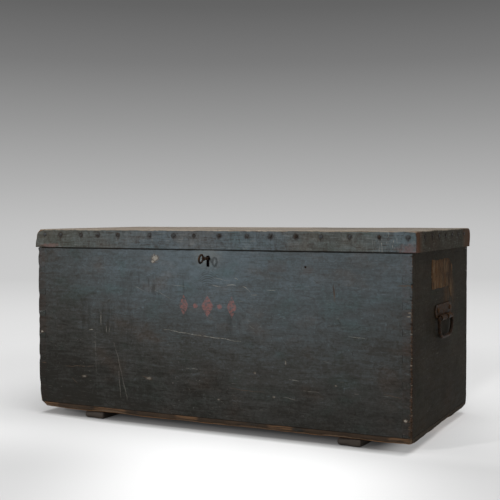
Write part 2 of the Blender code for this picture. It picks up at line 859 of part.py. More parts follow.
def make_rivets(name, side, plate_face):
    inner = side * (inner_half - gap)
    for part, y in zip(("front", "back"), rivet_places):
        z = handle_z + rivet_rise
        outer = plate_face + side * gap
        label = f"{name}_handle_rivet_{part}"
        shank = prism(circle((y, z), rivet_r), "X", *sorted((inner - side * rivet_rove_t / 2, outer)))
        rivet = piece(label, shank, rusty_iron(label), (outer, y, z))
        head = bmesh.new()
        add_dome(head, (outer, y, z), "X", side, rivet_head_r, rivet_head_t, 0.0)
        shape(rivet, "UNION", head, "head")
        rove = prism(circle((y, z), rivet_head_r), "X", *sorted((inner, inner - side * rivet_rove_t)))
        shape(rivet, "UNION", rove, "rove")
        smooth(rivet)


def main():
    clear_scene()
    make_walls()
    make_bottom()
    make_skids()
    make_runners()
    lid = empty_at("lid_hinge_axis", (0, hinge_y, hinge_z))
    make_lid(lid)
    make_hinges(lid)
    make_lock(lid)
    make_key()
    make_handles()
    make_till("upper", upper_till_low, upper_till_height, 0.0)
    make_till("lower", lower_till_low, lower_till_height, upper_runner_t)


main()
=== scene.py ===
"""A joiner's tool chest, dressed: worn painted boards, clout nails, a rusty key and drop handles.

Each operator makes one piece or a group of like pieces round the chest's fixed frame. Metres, +Z up; X runs
along the chest, and its front with the keyhole faces -Y. New pieces are surfaces worked out with numpy, and
each function says its formula in words.
"""

import math
from contextlib import contextmanager
from functools import reduce

import bmesh
import bpy
import numpy as np
from mathutils import Matrix, Vector


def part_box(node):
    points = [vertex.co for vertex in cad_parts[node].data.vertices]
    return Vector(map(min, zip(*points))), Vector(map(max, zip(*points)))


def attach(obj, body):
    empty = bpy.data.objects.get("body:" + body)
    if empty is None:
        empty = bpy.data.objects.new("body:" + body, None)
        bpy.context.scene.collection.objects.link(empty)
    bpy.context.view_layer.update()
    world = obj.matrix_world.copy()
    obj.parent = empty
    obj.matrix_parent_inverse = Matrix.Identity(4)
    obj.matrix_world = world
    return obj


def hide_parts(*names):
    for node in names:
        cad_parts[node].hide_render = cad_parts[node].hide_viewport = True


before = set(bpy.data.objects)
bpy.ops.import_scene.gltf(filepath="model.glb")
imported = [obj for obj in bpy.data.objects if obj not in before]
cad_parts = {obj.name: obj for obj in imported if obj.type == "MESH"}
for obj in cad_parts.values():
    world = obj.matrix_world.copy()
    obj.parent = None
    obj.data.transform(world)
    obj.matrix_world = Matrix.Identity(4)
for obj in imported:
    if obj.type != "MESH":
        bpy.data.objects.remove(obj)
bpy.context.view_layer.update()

bl_info = {
    "name": "Joiner's tool chest",
    "version": (1, 0, 0),
    "blender": (4, 5, 0),
    "location": "View3D > Sidebar > Chest",
    "description": "Dresses a joiner's tool chest: worn boards, nails, lock, key, handles and tills",
    "category": "Object",
}


def box(node):
    """A node's lowest and highest corner as arrays."""
    low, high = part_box(node)
    return np.array(low), np.array(high)


def srgb(red, green, blue):
    """A display colour of 0 to 255 as the linear colour that sockets take."""
    shares = np.array((red, green, blue)) / 255
    linear = np.where(shares <= 0.04045, shares / 12.92, ((shares + 0.055) / 1.055) ** 2.4)
    return tuple(float(v) for v in linear)


# The carcase and the lid as plain boxes, read from the frame. The rims' own boxes hold their nail heads too.
front_low, front_high = box("front_board")
back_low, back_high = box("back_board")
bottom_low, bottom_high = box("bottom_board_front")
front_rim_low, front_rim_high = box("lid_front_rim")
end_rim_low, end_rim_high = box("lid_right_rim")

joint_gap = float(end_rim_low[1] - front_rim_high[1])
lid_back = end_rim_high[1] + joint_gap + front_rim_high[1] - front_low[1]
carcase = (np.array((front_low[0], front_low[1], bottom_low[2])), back_high.copy())
lid = (
    np.array((front_rim_low[0], front_low[1], front_rim_low[2])),
    np.array((front_rim_high[0], lid_back, front_rim_high[2])),
)

# The key's axis lies below its top by the radius of its bow and of the bow's bar.
bow_radius = 0.0097
bow_bar_radius = 0.0028
key_low, key_high = box("key")
key_x = float((key_low[0] + key_high[0]) / 2)
key_z = float(key_high[2]) - bow_radius - bow_bar_radius

millimetres = 1000


def length_property(label, use, metres, least=0.0):
    return bpy.props.FloatProperty(name=label, description=use, default=metres, min=least, unit="LENGTH")


def colour_property(label, use, shade):
    return bpy.props.FloatVectorProperty(
        name=label, description=use, default=srgb(*shade), size=3, min=0.0, max=1.0, subtype="COLOR"
    )


def power_property(label, watts):
    return bpy.props.FloatProperty(
        name=label, description="Power in watts", default=watts, min=0.0, unit="POWER"
    )


class ChestSizes(bpy.types.PropertyGroup):
    """Sizes of the finish that the frame leaves open."""

    grid_step: length_property("Grid step", "Widest cell of a board's surface", 0.0045, 0.001)
    arris: length_property("Arris", "Rounding of a board's own sharp edges", 0.0005)
    carcase_wear: length_property("Carcase wear", "Least rounding of the carcase's outer edges", 0.0016)
    lid_wear: length_property("Lid wear", "Least rounding of the lid's outer edges", 0.0024)
    foot_wear: length_property("Foot wear", "More rounding along the foot", 0.0050)
    cupping: length_property("Cupping", "Depth of the hollows in a board's faces", 0.0005)
    nail_radius: length_property("Nail radius", "Radius of a clout nail's head", 0.0048)
    nail_dome: length_property("Nail dome", "How far a nail's head stands out", 0.0016)
    nail_drop: length_property("Nail drop", "From the lid's top down to its nails", 0.0135)
    keyhole_radius: length_property("Keyhole radius", "Radius of the keyhole's round top", 0.0065)
    keyhole_slot: length_property("Keyhole slot", "Width of the keyhole's slot", 0.0082)
    keyhole_drop: length_property("Keyhole drop", "From the key's axis to the slot's foot", 0.0205)
    bow_bar: length_property("Bow bar", "Radius of the bar of the key's bow", bow_bar_radius)
    bail_bar: length_property("Bail bar", "Radius of a handle's bail", 0.0042)
    paper: length_property("Paper", "Thickness of the label's paper", 0.0003)


class ChestColours(bpy.types.PropertyGroup):
    """Colours of the finishes."""

    # On the front, the pale and light paint come out mostly where the painted sheen lifts the tone.
    paint_pale: colour_property("Pale paint", "The blue-grey paint where it is cleanest", (80, 89, 94))
    paint_light: colour_property("Light paint", "The paint where it is clean", (66, 71, 73))
    paint_mid: colour_property("Middle paint", "The paint where it is dulled", (51, 51, 49))
    paint_dark: colour_property("Dark paint", "The paint where it is sooty and greased", (34, 33, 30))
    stain: colour_property("Stain", "Brown stains on the paint", (66, 54, 48))
    scuff: colour_property("Scuff", "The paint where it is scuffed chalky", (104, 106, 104))
    end_grain: colour_property("End grain", "End grain where the paint has gone", (84, 56, 38))
    bare_edge: colour_property("Bare edge", "Wood where the paint is rubbed off an edge", (75, 60, 48))
    foot_wood: colour_property("Foot's wood", "The foot's wood where it is rubbed brightest", (88, 67, 49))
    bare_pale: colour_property("Pale wood", "Freshly scuffed wood", (142, 122, 102))
    pine: colour_property("Pine", "Bare pine inside", (150, 108, 68))
    pine_dark: colour_property("Dark pine", "Growth rings of the pine", (104, 68, 40))
    grime: colour_property("Grime", "Dirt in the wood and under the chest", (46, 38, 31))
    chip: colour_property("Chip", "Chips down to the ground coat", (150, 146, 136))
    mark: colour_property("Mark", "The faded red mark", (117, 79, 75))
    iron: colour_property("Iron", "Dark iron", (27, 20, 15))
    rust: colour_property("Rust", "Dark rust", (64, 44, 27))
    rust_bright: colour_property("Bright rust", "Fresh rust", (124, 89, 54))
    rust_stain: colour_property("Rust stain", "Wood and paint that rust has browned", (42, 33, 28))
    steel: colour_property("Steel", "Dull steel", (122, 116, 108))
    paper: colour_property("Paper", "The label's stained paper", (82, 58, 35))
    paper_pale: colour_property("Pale paper", "The label where it is rubbed", (104, 90, 72))
    top_wood: colour_property("Top wood", "Dusty bare wood on top of the lid", (132, 122, 110))


class ChestStage(bpy.types.PropertyGroup):
    """The camera, the lights and the floor."""

    camera_place: bpy.props.FloatVectorProperty(
        name="Camera", description="Where the camera stands", default=(1.1230, -2.2517, 0.5256), subtype="XYZ"
    )
    camera_turn: bpy.props.FloatVectorProperty(
        name="Camera turn", description="Pitch from level, roll and turn from +Y",
        default=tuple(math.radians(v) for v in (-2.161, -0.172, 26.434)), subtype="EULER",
    )
    focal_pixels: bpy.props.FloatProperty(
        name="Focal length", description="In pixels of a frame that is 500 wide",
        default=966.12, min=1.0, subtype="PIXEL",
    )
    key_power: power_property("Key light", 64.0)
    top_power: power_property("Top light", 104.0)
    room_light: bpy.props.FloatProperty(
        name="Room light", description="Strength of the surroundings", default=0.20, min=0.0
    )
    floor_colour: colour_property("Floor", "The pale floor", (240, 240, 240))


# Noise and grids

wave_count = 16


def waves(points, wavelength, seed):
    """Smooth noise, mostly within -1 to 1: a sum of sine waves of about one length, with drawn directions."""
    draw = np.random.default_rng(seed)
    turns = draw.normal(size=(wave_count, 3))
    turns /= np.linalg.norm(turns, axis=1, keepdims=True)
    turns *= 2 * np.pi / (wavelength * draw.uniform(0.7, 1.5, (wave_count, 1)))
    phases = draw.uniform(0, 2 * np.pi, wave_count)
    return np.sin(np.asarray(points) @ turns.T + phases).sum(axis=-1) / math.sqrt(wave_count)


# How far from an edge the grid has lines, so that a worn arris comes out round.
arris_rows = np.array((0.0004, 0.0010, 0.0018, 0.0029, 0.0044, 0.0065, 0.0095))

# Within how much two places on a line, or two points, are one, and the least distance between two grid lines.
same_place = 1e-7
same_point = 1e-6
least_gap = 2e-5


def rulings(low, high, step, lines=()):
    """Places along an axis: close together by both ends, on each given line, and a step apart at most."""
    close = arris_rows[arris_rows < (high - low) / 3]
    fixed = np.concatenate([[low, high], low + close, high - close, np.asarray(lines, float)])
    fixed = np.unique(np.round(fixed[(fixed > low - same_place) & (fixed < high + same_place)], 7))
    fixed = fixed[np.concatenate([[True], np.diff(fixed) > least_gap])]
    spans = [
        np.linspace(a, b, max(math.ceil((b - a) / step), 1), endpoint=False)
        for a, b in zip(fixed, fixed[1:])
    ]
    return np.concatenate(spans + [[fixed[-1]]])


def cell_skin(rows, filled):
    """The skin of a block of cells: a quad where a filled cell meets an empty one, facing the empty one."""
    counts = [len(row) for row in rows]
    number = np.arange(np.prod(counts)).reshape(counts)
    padded = np.pad(filled, 1).astype(np.int8)
    quads = []
    for axis in range(3):
        inside = [slice(1, -1)] * 3
        inside[axis] = slice(None)
        change = np.diff(padded, axis=axis)[tuple(inside)]
        b, c = (k for k in range(3) if k != axis)
        for sign in (1, -1):
            at = np.argwhere(change == sign)
            ring = []
            for step_b, step_c in ((0, 0), (1, 0), (1, 1), (0, 1)):
                corner = at.copy()
                corner[:, b] += step_b
                corner[:, c] += step_c
                ring.append(number[tuple(corner.T)])
            if (sign == -1) == (axis == 1):
                ring.reverse()
            quads.append(np.stack(ring, axis=1))
    used, quads = np.unique(np.concatenate(quads), return_inverse=True)
    at = np.unravel_index(used, counts)
    return np.stack([row[i] for row, i in zip(rows, at)], axis=1), quads.reshape(-1, 4)


def carve(filled, rows, low, high):
    """Empties the cells whose middles lie in a box."""
    inside = [
        (row[:-1] + row[1:] > 2 * a) & (row[:-1] + row[1:] < 2 * b) for row, a, b in zip(rows, low, high)
    ]
    filled[np.ix_(*inside)] = False


def rounded(points, low, high, radius):
    """Points drawn back inside a box with round arrises.

    The nearest point of an inner box, a radius inside the outer one, is found; a point that lies further than
    the radius from it comes back to that distance. The radius may differ from point to point.
    """
    radius = np.minimum(np.broadcast_to(radius, len(points)), 0.49 * (high - low).min())[:, None]
    core = np.clip(points, low + radius, high - radius)
    away = points - core
    reach = np.linalg.norm(away, axis=1, keepdims=True)
    return core + away * np.where(reach > radius, radius / np.maximum(reach, 1e-9), 1.0)


def hollowed(points, low, high, depth, seed):
    """Points on a box's six faces sunk by up to a depth, after two sizes of smooth noise. The faces by which
    the lid lies on the carcase stay flat."""
    beside = 1e-4
    sunk = 0.5 + 0.35 * waves(points, 0.19, seed) + 0.15 * waves(points, 0.045, seed + 1)
    sunk = depth * np.clip(sunk, 0, 1)
    sunk[(points[:, 2] > carcase[1][2] - beside) & (points[:, 2] < lid[0][2] + beside)] = 0
    moved = points.copy()
    for axis in range(3):
        moved[:, axis] += np.where(points[:, axis] < low[axis] + same_point, sunk, 0.0)
        moved[:, axis] -= np.where(points[:, axis] > high[axis] - same_point, sunk, 0.0)
    return moved


# Where an outer corner is worn away: its place as shares of the box, 0 low and 1 high, its depth and spread.
carcase_corner_shares = (
    ((0, 0, 0), 0.013, (0.030, 0.030, 0.042)),
    ((1, 0, 0.02), 0.005, (0.020, 0.020, 0.070)),
    ((1, 1, 0), 0.004, (0.015, 0.020, 0.020)),
    ((0, 1, 0), 0.008, (0.020, 0.020, 0.025)),
    ((0, 0, 0.14), 0.004, (0.010, 0.010, 0.010)),
    ((0, 0, 0.31), 0.004, (0.010, 0.010, 0.007)),
    ((0, 0, 0.42), 0.003, (0.010, 0.010, 0.012)),
    ((0, 0, 0.57), 0.004, (0.010, 0.010, 0.006)),
    ((0, 0, 0.70), 0.004, (0.010, 0.010, 0.009)),
    ((0, 0, 0.88), 0.004, (0.010, 0.010, 0.007)),
    ((0, 0, 0.97), 0.005, (0.010, 0.010, 0.006)),
    ((1, 0, 0.826), 0.006, (0.006, 0.006, 0.003)),
    ((1, 0, 0.68), 0.004, (0.006, 0.006, 0.005)),
    ((1, 0, 0.65), 0.003, (0.006, 0.006, 0.003)),
    ((1, 0, 0.59), 0.003, (0.006, 0.006, 0.006)),
    ((1, 0, 0.44), 0.004, (0.006, 0.006, 0.012)),
    ((1, 0, 0.28), 0.004, (0.006, 0.006, 0.020)),
    ((0.2185, 0, 0), 0.006, (0.050, 0.010, 0.010)),
    ((0.72, 0, 0), 0.003, (0.120, 0.010, 0.010)),
)
lid_corner_shares = (
    ((0, 0, 1), 0.014, (0.020, 0.020, 0.020)),
    ((0, 0, 0.5), 0.003, (0.010, 0.010, 0.006)),
    ((1, 0, 1), 0.004, (0.012, 0.012, 0.012)),
    ((1, 1, 0), 0.009, (0.010, 0.014, 0.014)),
    ((0, 1, 1), 0.006, (0.014, 0.014, 0.014)),
    ((1, 1, 1), 0.005, (0.010, 0.010, 0.014)),
)
skid_corner_shares = (
    ((0, 0.5, 0), 0.014, (0.030, 10.0, 0.03)),
    ((1, 0, 0), 0.004, (0.02, 0.03, 0.02)),
    ((0, 0, 0), 0.004, (0.03, 0.03, 0.03)),
)


def wear(points, hull, least, corners, seed):
    """How far the outer arrises are worn round at each point: a least radius, more in long and short waves,
    and a bell curve of depth at each worn corner."""
    low, high = hull
    radius = least * (1 + 0.7 * np.clip(waves(points, 0.16, seed), 0, 2))
    radius += least * 1.1 * np.clip(waves(points, 0.034, seed + 1) - 0.5, 0, 2)
    radius += least * 0.9 * np.clip(waves(points, 0.012, seed + 2) - 0.9, 0, 2)
    for place, depth, spread in corners:
        away = (points - (low + (high - low) * np.array(place))) / np.array(spread)
        radius += depth * np.exp(-(away**2).sum(axis=1))
    return radius


def object_from(name, points, faces, values=None):
    """An object at the origin whose mesh holds the given points and faces, with any values as attributes."""
    mesh = bpy.data.meshes.new(name)
    mesh.vertices.add(len(points))
    mesh.vertices.foreach_set("co", np.ascontiguousarray(points, np.float32).ravel())
    mesh.loops.add(faces.size)
    mesh.loops.foreach_set("vertex_index", np.ascontiguousarray(faces, np.int32).ravel())
    mesh.polygons.add(len(faces))
    mesh.polygons.foreach_set("loop_start", np.arange(0, faces.size, faces.shape[1], dtype=np.int32))
    mesh.update(calc_edges=True)
    for label, value in (values or {}).items():
        layer = mesh.attributes.new(label, "FLOAT", "POINT")
        layer.data.foreach_set("value", np.ascontiguousarray(value, np.float32))
    mesh.shade_smooth()
    made = bpy.data.objects.new(name, mesh)
    bpy.context.scene.collection.objects.link(made)
    return made


def creased(made, degrees=40):
    """Shades a piece smooth except over edges sharper than an angle."""
    made.data.set_sharp_from_angle(angle=math.radians(degrees))
    return made


def dress(made, body, slot, material, *nodes):
    """Gives a piece its material and its body, and hides the frame's nodes that it stands for; its slot is
    not used.
    """
    made.data.materials.clear()
    made.data.materials.append(material)
    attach(made, body)
    if nodes:
        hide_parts(*nodes)
    return made


def board(name, low, high, hull=None, cuts=(), lines=((), (), ()), keep=None, shift=None, seed=1, step=None):
    """A board's surface on a grid of cells.

    Cells in a cut, or that the keep test leaves out, are empty. The faces are hollowed a little, the board's
    own arrises are rounded, and its part of the hull's outer arrises is worn round. How much wood the wear
    has taken off is kept in millimetres as the attribute worn.
    """
    sizes = bpy.context.scene.chest_sizes
    lines = [list(row) for row in lines]
    for cut_low, cut_high in cuts:
        for axis in range(3):
            lines[axis] += [cut_low[axis], cut_high[axis]]
    rows = [rulings(a, b, step or sizes.grid_step, row) for a, b, row in zip(low, high, lines)]
    filled = np.ones([len(row) - 1 for row in rows], bool)
    for cut_low, cut_high in cuts:
        carve(filled, rows, cut_low, cut_high)
    if keep:
        filled &= keep(*((row[:-1] + row[1:]) / 2 for row in rows))
    points, quads = cell_skin(rows, filled)
    if shift:
        points = shift(points)
    points = hollowed(points, low, high, sizes.cupping, seed)
    points = rounded(points, low, high, sizes.arris)
    worn = np.zeros(len(points))
    if hull:
        outer, radius = hull(points)
        drawn = rounded(points, *outer, radius)
        worn = millimetres * np.linalg.norm(drawn - points, axis=1)
        points = drawn
    return creased(object_from(name, points, quads, {"worn": worn}))


# How far the hulls run on past the joint, where no arris is worn.
open_joint = np.array((0, 0, 0.03))


def carcase_hull(points):
    """The carcase's outer box, worn most along its foot, and not at all where the lid lies on it."""
    sizes = bpy.context.scene.chest_sizes
    low, high = carcase
    radius = wear(points, carcase, sizes.carcase_wear, carcase_corner_shares, 11)
    near_foot = np.exp(-(((points[:, 2] - low[2]) / 0.016) ** 2))
    radius += sizes.foot_wear * near_foot * (1 + 0.5 * np.clip(waves(points, 0.07, 19), -1, 1.5))
    return (low, high + open_joint), radius


def lid_hull(points):
    """The lid's outer box, open where it lies on the carcase."""
    sizes = bpy.context.scene.chest_sizes
    return (lid[0] - open_joint, lid[1]), wear(points, lid, sizes.lid_wear, lid_corner_shares, 23)


def grid_faces(rows, columns, wrap_rows=False, wrap_columns=False):
    """Quads over a grid of points numbered row by row."""
    number = np.arange(rows * columns).reshape(rows, columns)
    if wrap_rows:
        number = np.vstack([number, number[:1]])
    if wrap_columns:
        number = np.hstack([number, number[:, :1]])
    corners = number[:-1, :-1], number[1:, :-1], number[1:, 1:], number[:-1, 1:]
    return np.stack([c.ravel() for c in corners], axis=1)


@contextmanager
def reworked(mesh):
    """Opens a mesh for changes, and writes them back."""
    work = bmesh.new()
    work.from_mesh(mesh)
    yield work
    work.to_mesh(mesh)
    work.free()


def gathered(name, parts, sharp=40):
    """One object from several grids, each an array of rows by columns by 3 and whether rows and columns wrap.

    Points that fall together, as at a pole, become one, and all faces are turned outwards.
    """
    points, faces, count = [], [], 0
    for grid, wrap_rows, wrap_columns in parts:
        points.append(grid.reshape(-1, 3))
        faces.append(grid_faces(*grid.shape[:2], wrap_rows, wrap_columns) + count)
        count += len(points[-1])
    made = object_from(name, np.concatenate(points), np.concatenate(faces))
    with reworked(made.data) as work:
        bmesh.ops.remove_doubles(work, verts=work.verts, dist=same_point)
        bmesh.ops.dissolve_degenerate(work, edges=work.edges, dist=same_place)
        bmesh.ops.recalc_face_normals(work, faces=work.faces)
    made.data.shade_smooth()
    return creased(made, sharp)


def turned(profile, centre, axis, sides=48, waver=0.0, seed=0, closed=False):
    """A surface turned about a line: the profile's (radius, distance) pairs go round, and a slow wave of the
    angle makes the round a little uneven. With closed set, the profile is a ring itself."""
    profile = np.asarray(profile, float)
    turn = np.linspace(0, 2 * np.pi, sides, endpoint=False)
    draw = np.random.default_rng(seed)
    uneven = 1 + waver * (
        np.sin(2 * turn + draw.uniform(0, 6)) + 0.6 * np.sin(3 * turn + draw.uniform(0, 6))
    )
    radius = profile[:, 0, None] * uneven
    along = np.eye(3)["XYZ".index(axis)]
    u, v = np.delete(np.eye(3), "XYZ".index(axis), axis=0)
    grid = (
        np.asarray(centre, float)
        + profile[:, 1, None, None] * along
        + radius[..., None] * (np.cos(turn)[:, None] * u + np.sin(turn)[:, None] * v)
    )
    return grid, closed, True


def swept(path, radius, across, sides=20, rough=0.0, seed=0):
    """A round bar along a flat path: at each point a circle in the plane of the path's normal and the
    direction across the path. Its two ends close in a half ball."""
    path = np.asarray(path, float)
    ahead = np.gradient(path, axis=0)
    ahead /= np.linalg.norm(ahead, axis=1, keepdims=True)
    radii = np.full(len(path), radius)
    ball = np.linspace(0, np.pi / 2, 6)[1:]
    start = path[0] - ahead[0] * radius * np.sin(ball)[::-1, None]
    end = path[-1] + ahead[-1] * radius * np.sin(ball)[:, None]
    path = np.concatenate([start, path, end])
    count = len(ball)
    ahead = np.concatenate([np.repeat(ahead[:1], count, 0), ahead, np.repeat(ahead[-1:], count, 0)])
    radii = np.concatenate([radius * np.cos(ball)[::-1], radii, radius * np.cos(ball)])
    across = np.asarray(across, float)
    side = np.cross(ahead, across)
    turn = np.linspace(0, 2 * np.pi, sides, endpoint=False)
    circle = np.cos(turn)[:, None] * across + np.sin(turn)[:, None] * side[:, None, :]
    grid = path[:, None, :] + radii[:, None, None] * circle
    if rough:
        uneven = 1 + rough * waves(grid, radius * 3.5, seed)
        grid = path[:, None, :] + (grid - path[:, None, :]) * uneven[..., None]
    return grid, False, True


def tube_ring(bore, outer, start, end, soft, between=()):
    """The section of a tube's wall as (radius, distance), with its corners broken; its outside also has a
    point at each distance between."""
    return [
        (bore, start + soft), (bore + soft, start), (outer - soft, start), (outer, start + soft),
        *((outer, place) for place in between),
        (outer, end - soft), (outer - soft, end), (bore + soft, end), (bore, end - soft),
    ]


# Materials


class Wire:
    """A value on its way through a material: arithmetic on it adds Math nodes."""

    def __init__(self, sketch, socket):
        self.sketch = sketch
        self.socket = socket

    def math(self, operation, *values):
        return self.sketch.node("ShaderNodeMath", {"operation": operation}, dict(enumerate(values)))

    def __add__(self, other):
        return self.math("ADD", self, other)

    def __sub__(self, other):
        return self.math("SUBTRACT", self, other)

    def __rsub__(self, other):
        return self.math("SUBTRACT", other, self)

    def __mul__(self, other):
        return self.math("MULTIPLY", self, other)

    def __truediv__(self, other):
        return self.math("DIVIDE", self, other)

    def __pow__(self, other):
        return self.math("POWER", self, other)

    __radd__ = __add__
    __rmul__ = __mul__

    def most(self, other):
        return self.math("MAXIMUM", self, other)

    def least(self, other):
        return self.math("MINIMUM", self, other)

    def size(self):
        return self.math("ABSOLUTE", self)

    def ease(self, low, high):
        """0 below low, 1 above high, and a smooth step between them; low may be the larger."""
        limits = {0: self, 1: low, 2: high, 3: 0.0, 4: 1.0}
        return self.sketch.node("ShaderNodeMapRange", {"interpolation_type": "SMOOTHSTEP"}, limits)


class Sketch:
    """A material under construction."""

    def __init__(self, name):
        self.tones = bpy.context.scene.chest_colours
        self.material = bpy.data.materials.new(name)
        self.material.use_nodes = True
        self.tree = self.material.node_tree
        self.shader = self.tree.nodes["Principled BSDF"]
        self.place = self.node("ShaderNodeTexCoord", output="Object")
        self.x, self.y, self.z = (
            self.node("ShaderNodeSeparateXYZ", sockets={0: self.place}, output=k) for k in range(3)
        )

    def node(self, kind, settings=None, sockets=None, output=0):
        """Adds a node: its settings or a ramp's stops are set first, then its sockets get values or links."""
        made = self.tree.nodes.new(kind)
        for name, value in (settings or {}).items():
            if name == "stops":
                for i, (place, colour) in enumerate(value):
                    stop = made.color_ramp.elements[i] if i < 2 else made.color_ramp.elements.new(place)
                    stop.position = place
                    stop.color = (*colour, 1.0)
            else:
                setattr(made, name, value)
        for key, value in (sockets or {}).items():
            self.put(made.inputs[key], value)
        return Wire(self, made.outputs[output])

    def put(self, socket, value):
        """Links a wire to a socket, or sets the socket's own value."""
        if isinstance(value, Wire):
            self.tree.links.new(value.socket, socket)
        else:
            socket.default_value = value

    def mix(self, share, first, second):
        """A colour between two colours."""
        ends = {0: share, 6: self.filled(first), 7: self.filled(second)}
        return self.node("ShaderNodeMix", {"data_type": "RGBA"}, ends, 2)

    def tinted(self, share, colour, factor):
        """A colour multiplied by a factor for each of red, green and blue, as far as the share says."""
        ends = {0: share, 6: colour, 7: self.filled(factor)}
        return self.node("ShaderNodeMix", {"data_type": "RGBA", "blend_type": "MULTIPLY"}, ends, 2)

    def ramp(self, share, *stops):
        """A colour that runs through (place, colour) stops."""
        return self.node("ShaderNodeValToRGB", {"stops": stops}, {0: share})

    @staticmethod
    def filled(colour):
        """A colour as a socket takes it: a wire as it is, three numbers with an alpha of 1."""
        return colour if isinstance(colour, Wire) else (*tuple(colour)[:3], 1.0)

    def noise(self, scale, stretch=(1, 1, 1), seed=0, detail=3.0, roughness=0.55, twist=0.0, turn=(0, 0, 0)):
        """Noise of so many cells to the metre, drawn out along an axis where its stretch is small."""
        place = self.place
        if any(turn):
            place = self.node("ShaderNodeMapping", sockets={"Vector": place, "Rotation": turn})
        away = (seed * 3.7, seed * 1.9, seed * 5.3)
        moved = self.node("ShaderNodeMapping", sockets={"Vector": place, "Location": away, "Scale": stretch})
        values = {"Scale": scale, "Detail": detail, "Roughness": roughness, "Distortion": twist}
        return self.node("ShaderNodeTexNoise", sockets={"Vector": moved, **values})

    def attribute(self, name):
        return self.node("ShaderNodeAttribute", {"attribute_name": name}, output="Fac")

    def vector(self, operation, *values, output=0):
        return self.node("ShaderNodeVectorMath", {"operation": operation}, dict(enumerate(values)), output)

    def spot(self, centre, reach, ragged=0.0, soft=0.35, grain=900):
        """1 in an ellipsoid about a centre, 0 past it, with a ragged rim."""
        away = self.vector("SUBTRACT", self.place, centre)
        away = self.vector("DIVIDE", away, reach)
        far = self.vector("LENGTH", away, output="Value")
        if ragged:
            far = far + (self.noise(grain, seed=4, detail=2.0) - 0.5) * ragged
        return far.ease(1.0 + soft, 1.0 - soft)

    def scratch(self, start, end, width):
        """1 on the line from start to end, 0 a width away: the distance to the line's nearest point."""
        start, end = Vector(start), Vector(end)
        along = end - start
        away = self.vector("SUBTRACT", self.wavy, start)
        share = self.vector("DOT_PRODUCT", away, along / along.length_squared, output="Value")
        share = self.node("ShaderNodeClamp", sockets={0: share})
        near = self.node("ShaderNodeVectorMath", {"operation": "SCALE"}, {0: tuple(along), "Scale": share})
        far = self.vector("LENGTH", self.vector("SUBTRACT", away, near), output="Value")
        taper = 1.0 - (share - 0.5).size() * 1.2
        return far.ease(width, width * 0.3) * taper

    @property
    def wavy(self):
        """The place, shaken a little, so that scratches aren't ruled lines."""
        if not hasattr(self, "_wavy"):
            values = {"Vector": self.place, "Scale": 38.0, "Detail": 3.0}
            shake = self.node("ShaderNodeTexNoise", sockets=values, output="Color")
            shake = self.vector("SUBTRACT", shake, (0.5, 0.5, 0.5))
            shake = self.vector("MULTIPLY", shake, (0.008, 0.0, 0.008))
            self._wavy = self.vector("ADD", self.place, shake)
        return self._wavy

    def finish(self, colour, roughness, height=None, depth=0.0003, metallic=0.0, specular=0.5):
        """Links colour, roughness, metal and bump to the shader; what is the same all over is set on it."""
        values = {"Base Color": self.filled(colour), "Roughness": roughness, "Metallic": metallic}
        values["Specular IOR Level"] = specular
        if height is not None:
            values["Normal"] = self.node("ShaderNodeBump", sockets={"Distance": depth, "Height": height})
        for key, value in values.items():
            self.put(self.shader.inputs[key], value)
        return self.material


def along_grain(axis, share=0.06):
    """A stretch that draws noise out along one axis."""
    return tuple(share if letter == axis else 1.0 for letter in "XYZ")


def rings(sketch, axis, seed):
    """Growth rings of a sawn board: bands across the grain, bent by noise, as a value from 0 to 1."""
    bend = sketch.noise(5.0, along_grain(axis, 0.16), seed + 3, 2.0)
    first = sketch.x if axis == "Z" else sketch.z
    second = sketch.x if axis == "Y" else sketch.y
    phase = ((first + second * 0.35) * 62.0 + bend * 9.0) * (2 * math.pi)
    return phase.math("SINE", phase) * 0.5 + 0.5


def bare_wood(name, axis, seed=0, dark=0.0):
    """Old bare pine: rings, fibres along the grain, a few knots, and grime in the corners and pores."""
    s = Sketch(name)
    tones = s.tones
    ring = rings(s, axis, seed)
    fibre = s.noise(620.0, along_grain(axis, 0.035), seed, 2.0)
    streak = s.noise(85.0, along_grain(axis, 0.07), seed + 1, 4.0)
    dirt = s.noise(9.0, (1, 1, 1), seed + 2, 5.0, 0.62)
    wood = s.mix((ring.ease(0.35, 1.0) * 0.55 + (streak - 0.35) * 0.9), tones.pine, tones.pine_dark)
    wood = s.mix((fibre - 0.42) * 1.6, wood, tones.pine_dark)
    wood = s.mix(dirt.ease(0.48 - dark, 0.78 - dark) * 0.75 + dark * 0.5, wood, tones.grime)
    knots = s.noise(7.5, along_grain(axis, 0.55), seed + 7, 0.0).ease(0.755, 0.79)
    wood = s.mix(knots * 0.9, wood, tones.grime)
    bare = s.attribute("worn").ease(0.15, 1.2)
    wood = s.mix(bare * 0.4, wood, tones.bare_pale if dark < 0.3 else tones.iron)
    rough = 0.62 + fibre * 0.25
    height = ring * 0.25 + fibre * 0.5 + streak * 0.4
    return s.finish(wood, rough, height, 0.00035, specular=0.35)


def within(low, high, soft=0.001):
    """A share that is 1 inside a box and 0 outside it."""
    centre, half = (np.array(low) + high) / 2, (np.array(high) - low) / 2

    def share(s):
        away = s.vector("ABSOLUTE", s.vector("SUBTRACT", s.place, tuple(centre)))
        away = s.vector("SUBTRACT", away, tuple(half))
        x, y, z = (s.node("ShaderNodeSeparateXYZ", sockets={0: away}, output=k) for k in range(3))
        return x.most(y).most(z).ease(soft, 0.0)

    return share


# The paint's gloss is kept low; the sheen on the front is painted into its tone instead.
paint_gloss = 0.02

# The near black of the joint under the lid, dirt and painted shade in one, and the painted shade in the
# keyhole's depth.
joint_dirt_and_shade = (0.007, 0.006, 0.005)
keyhole_painted_shade = (0.004, 0.003, 0.003)


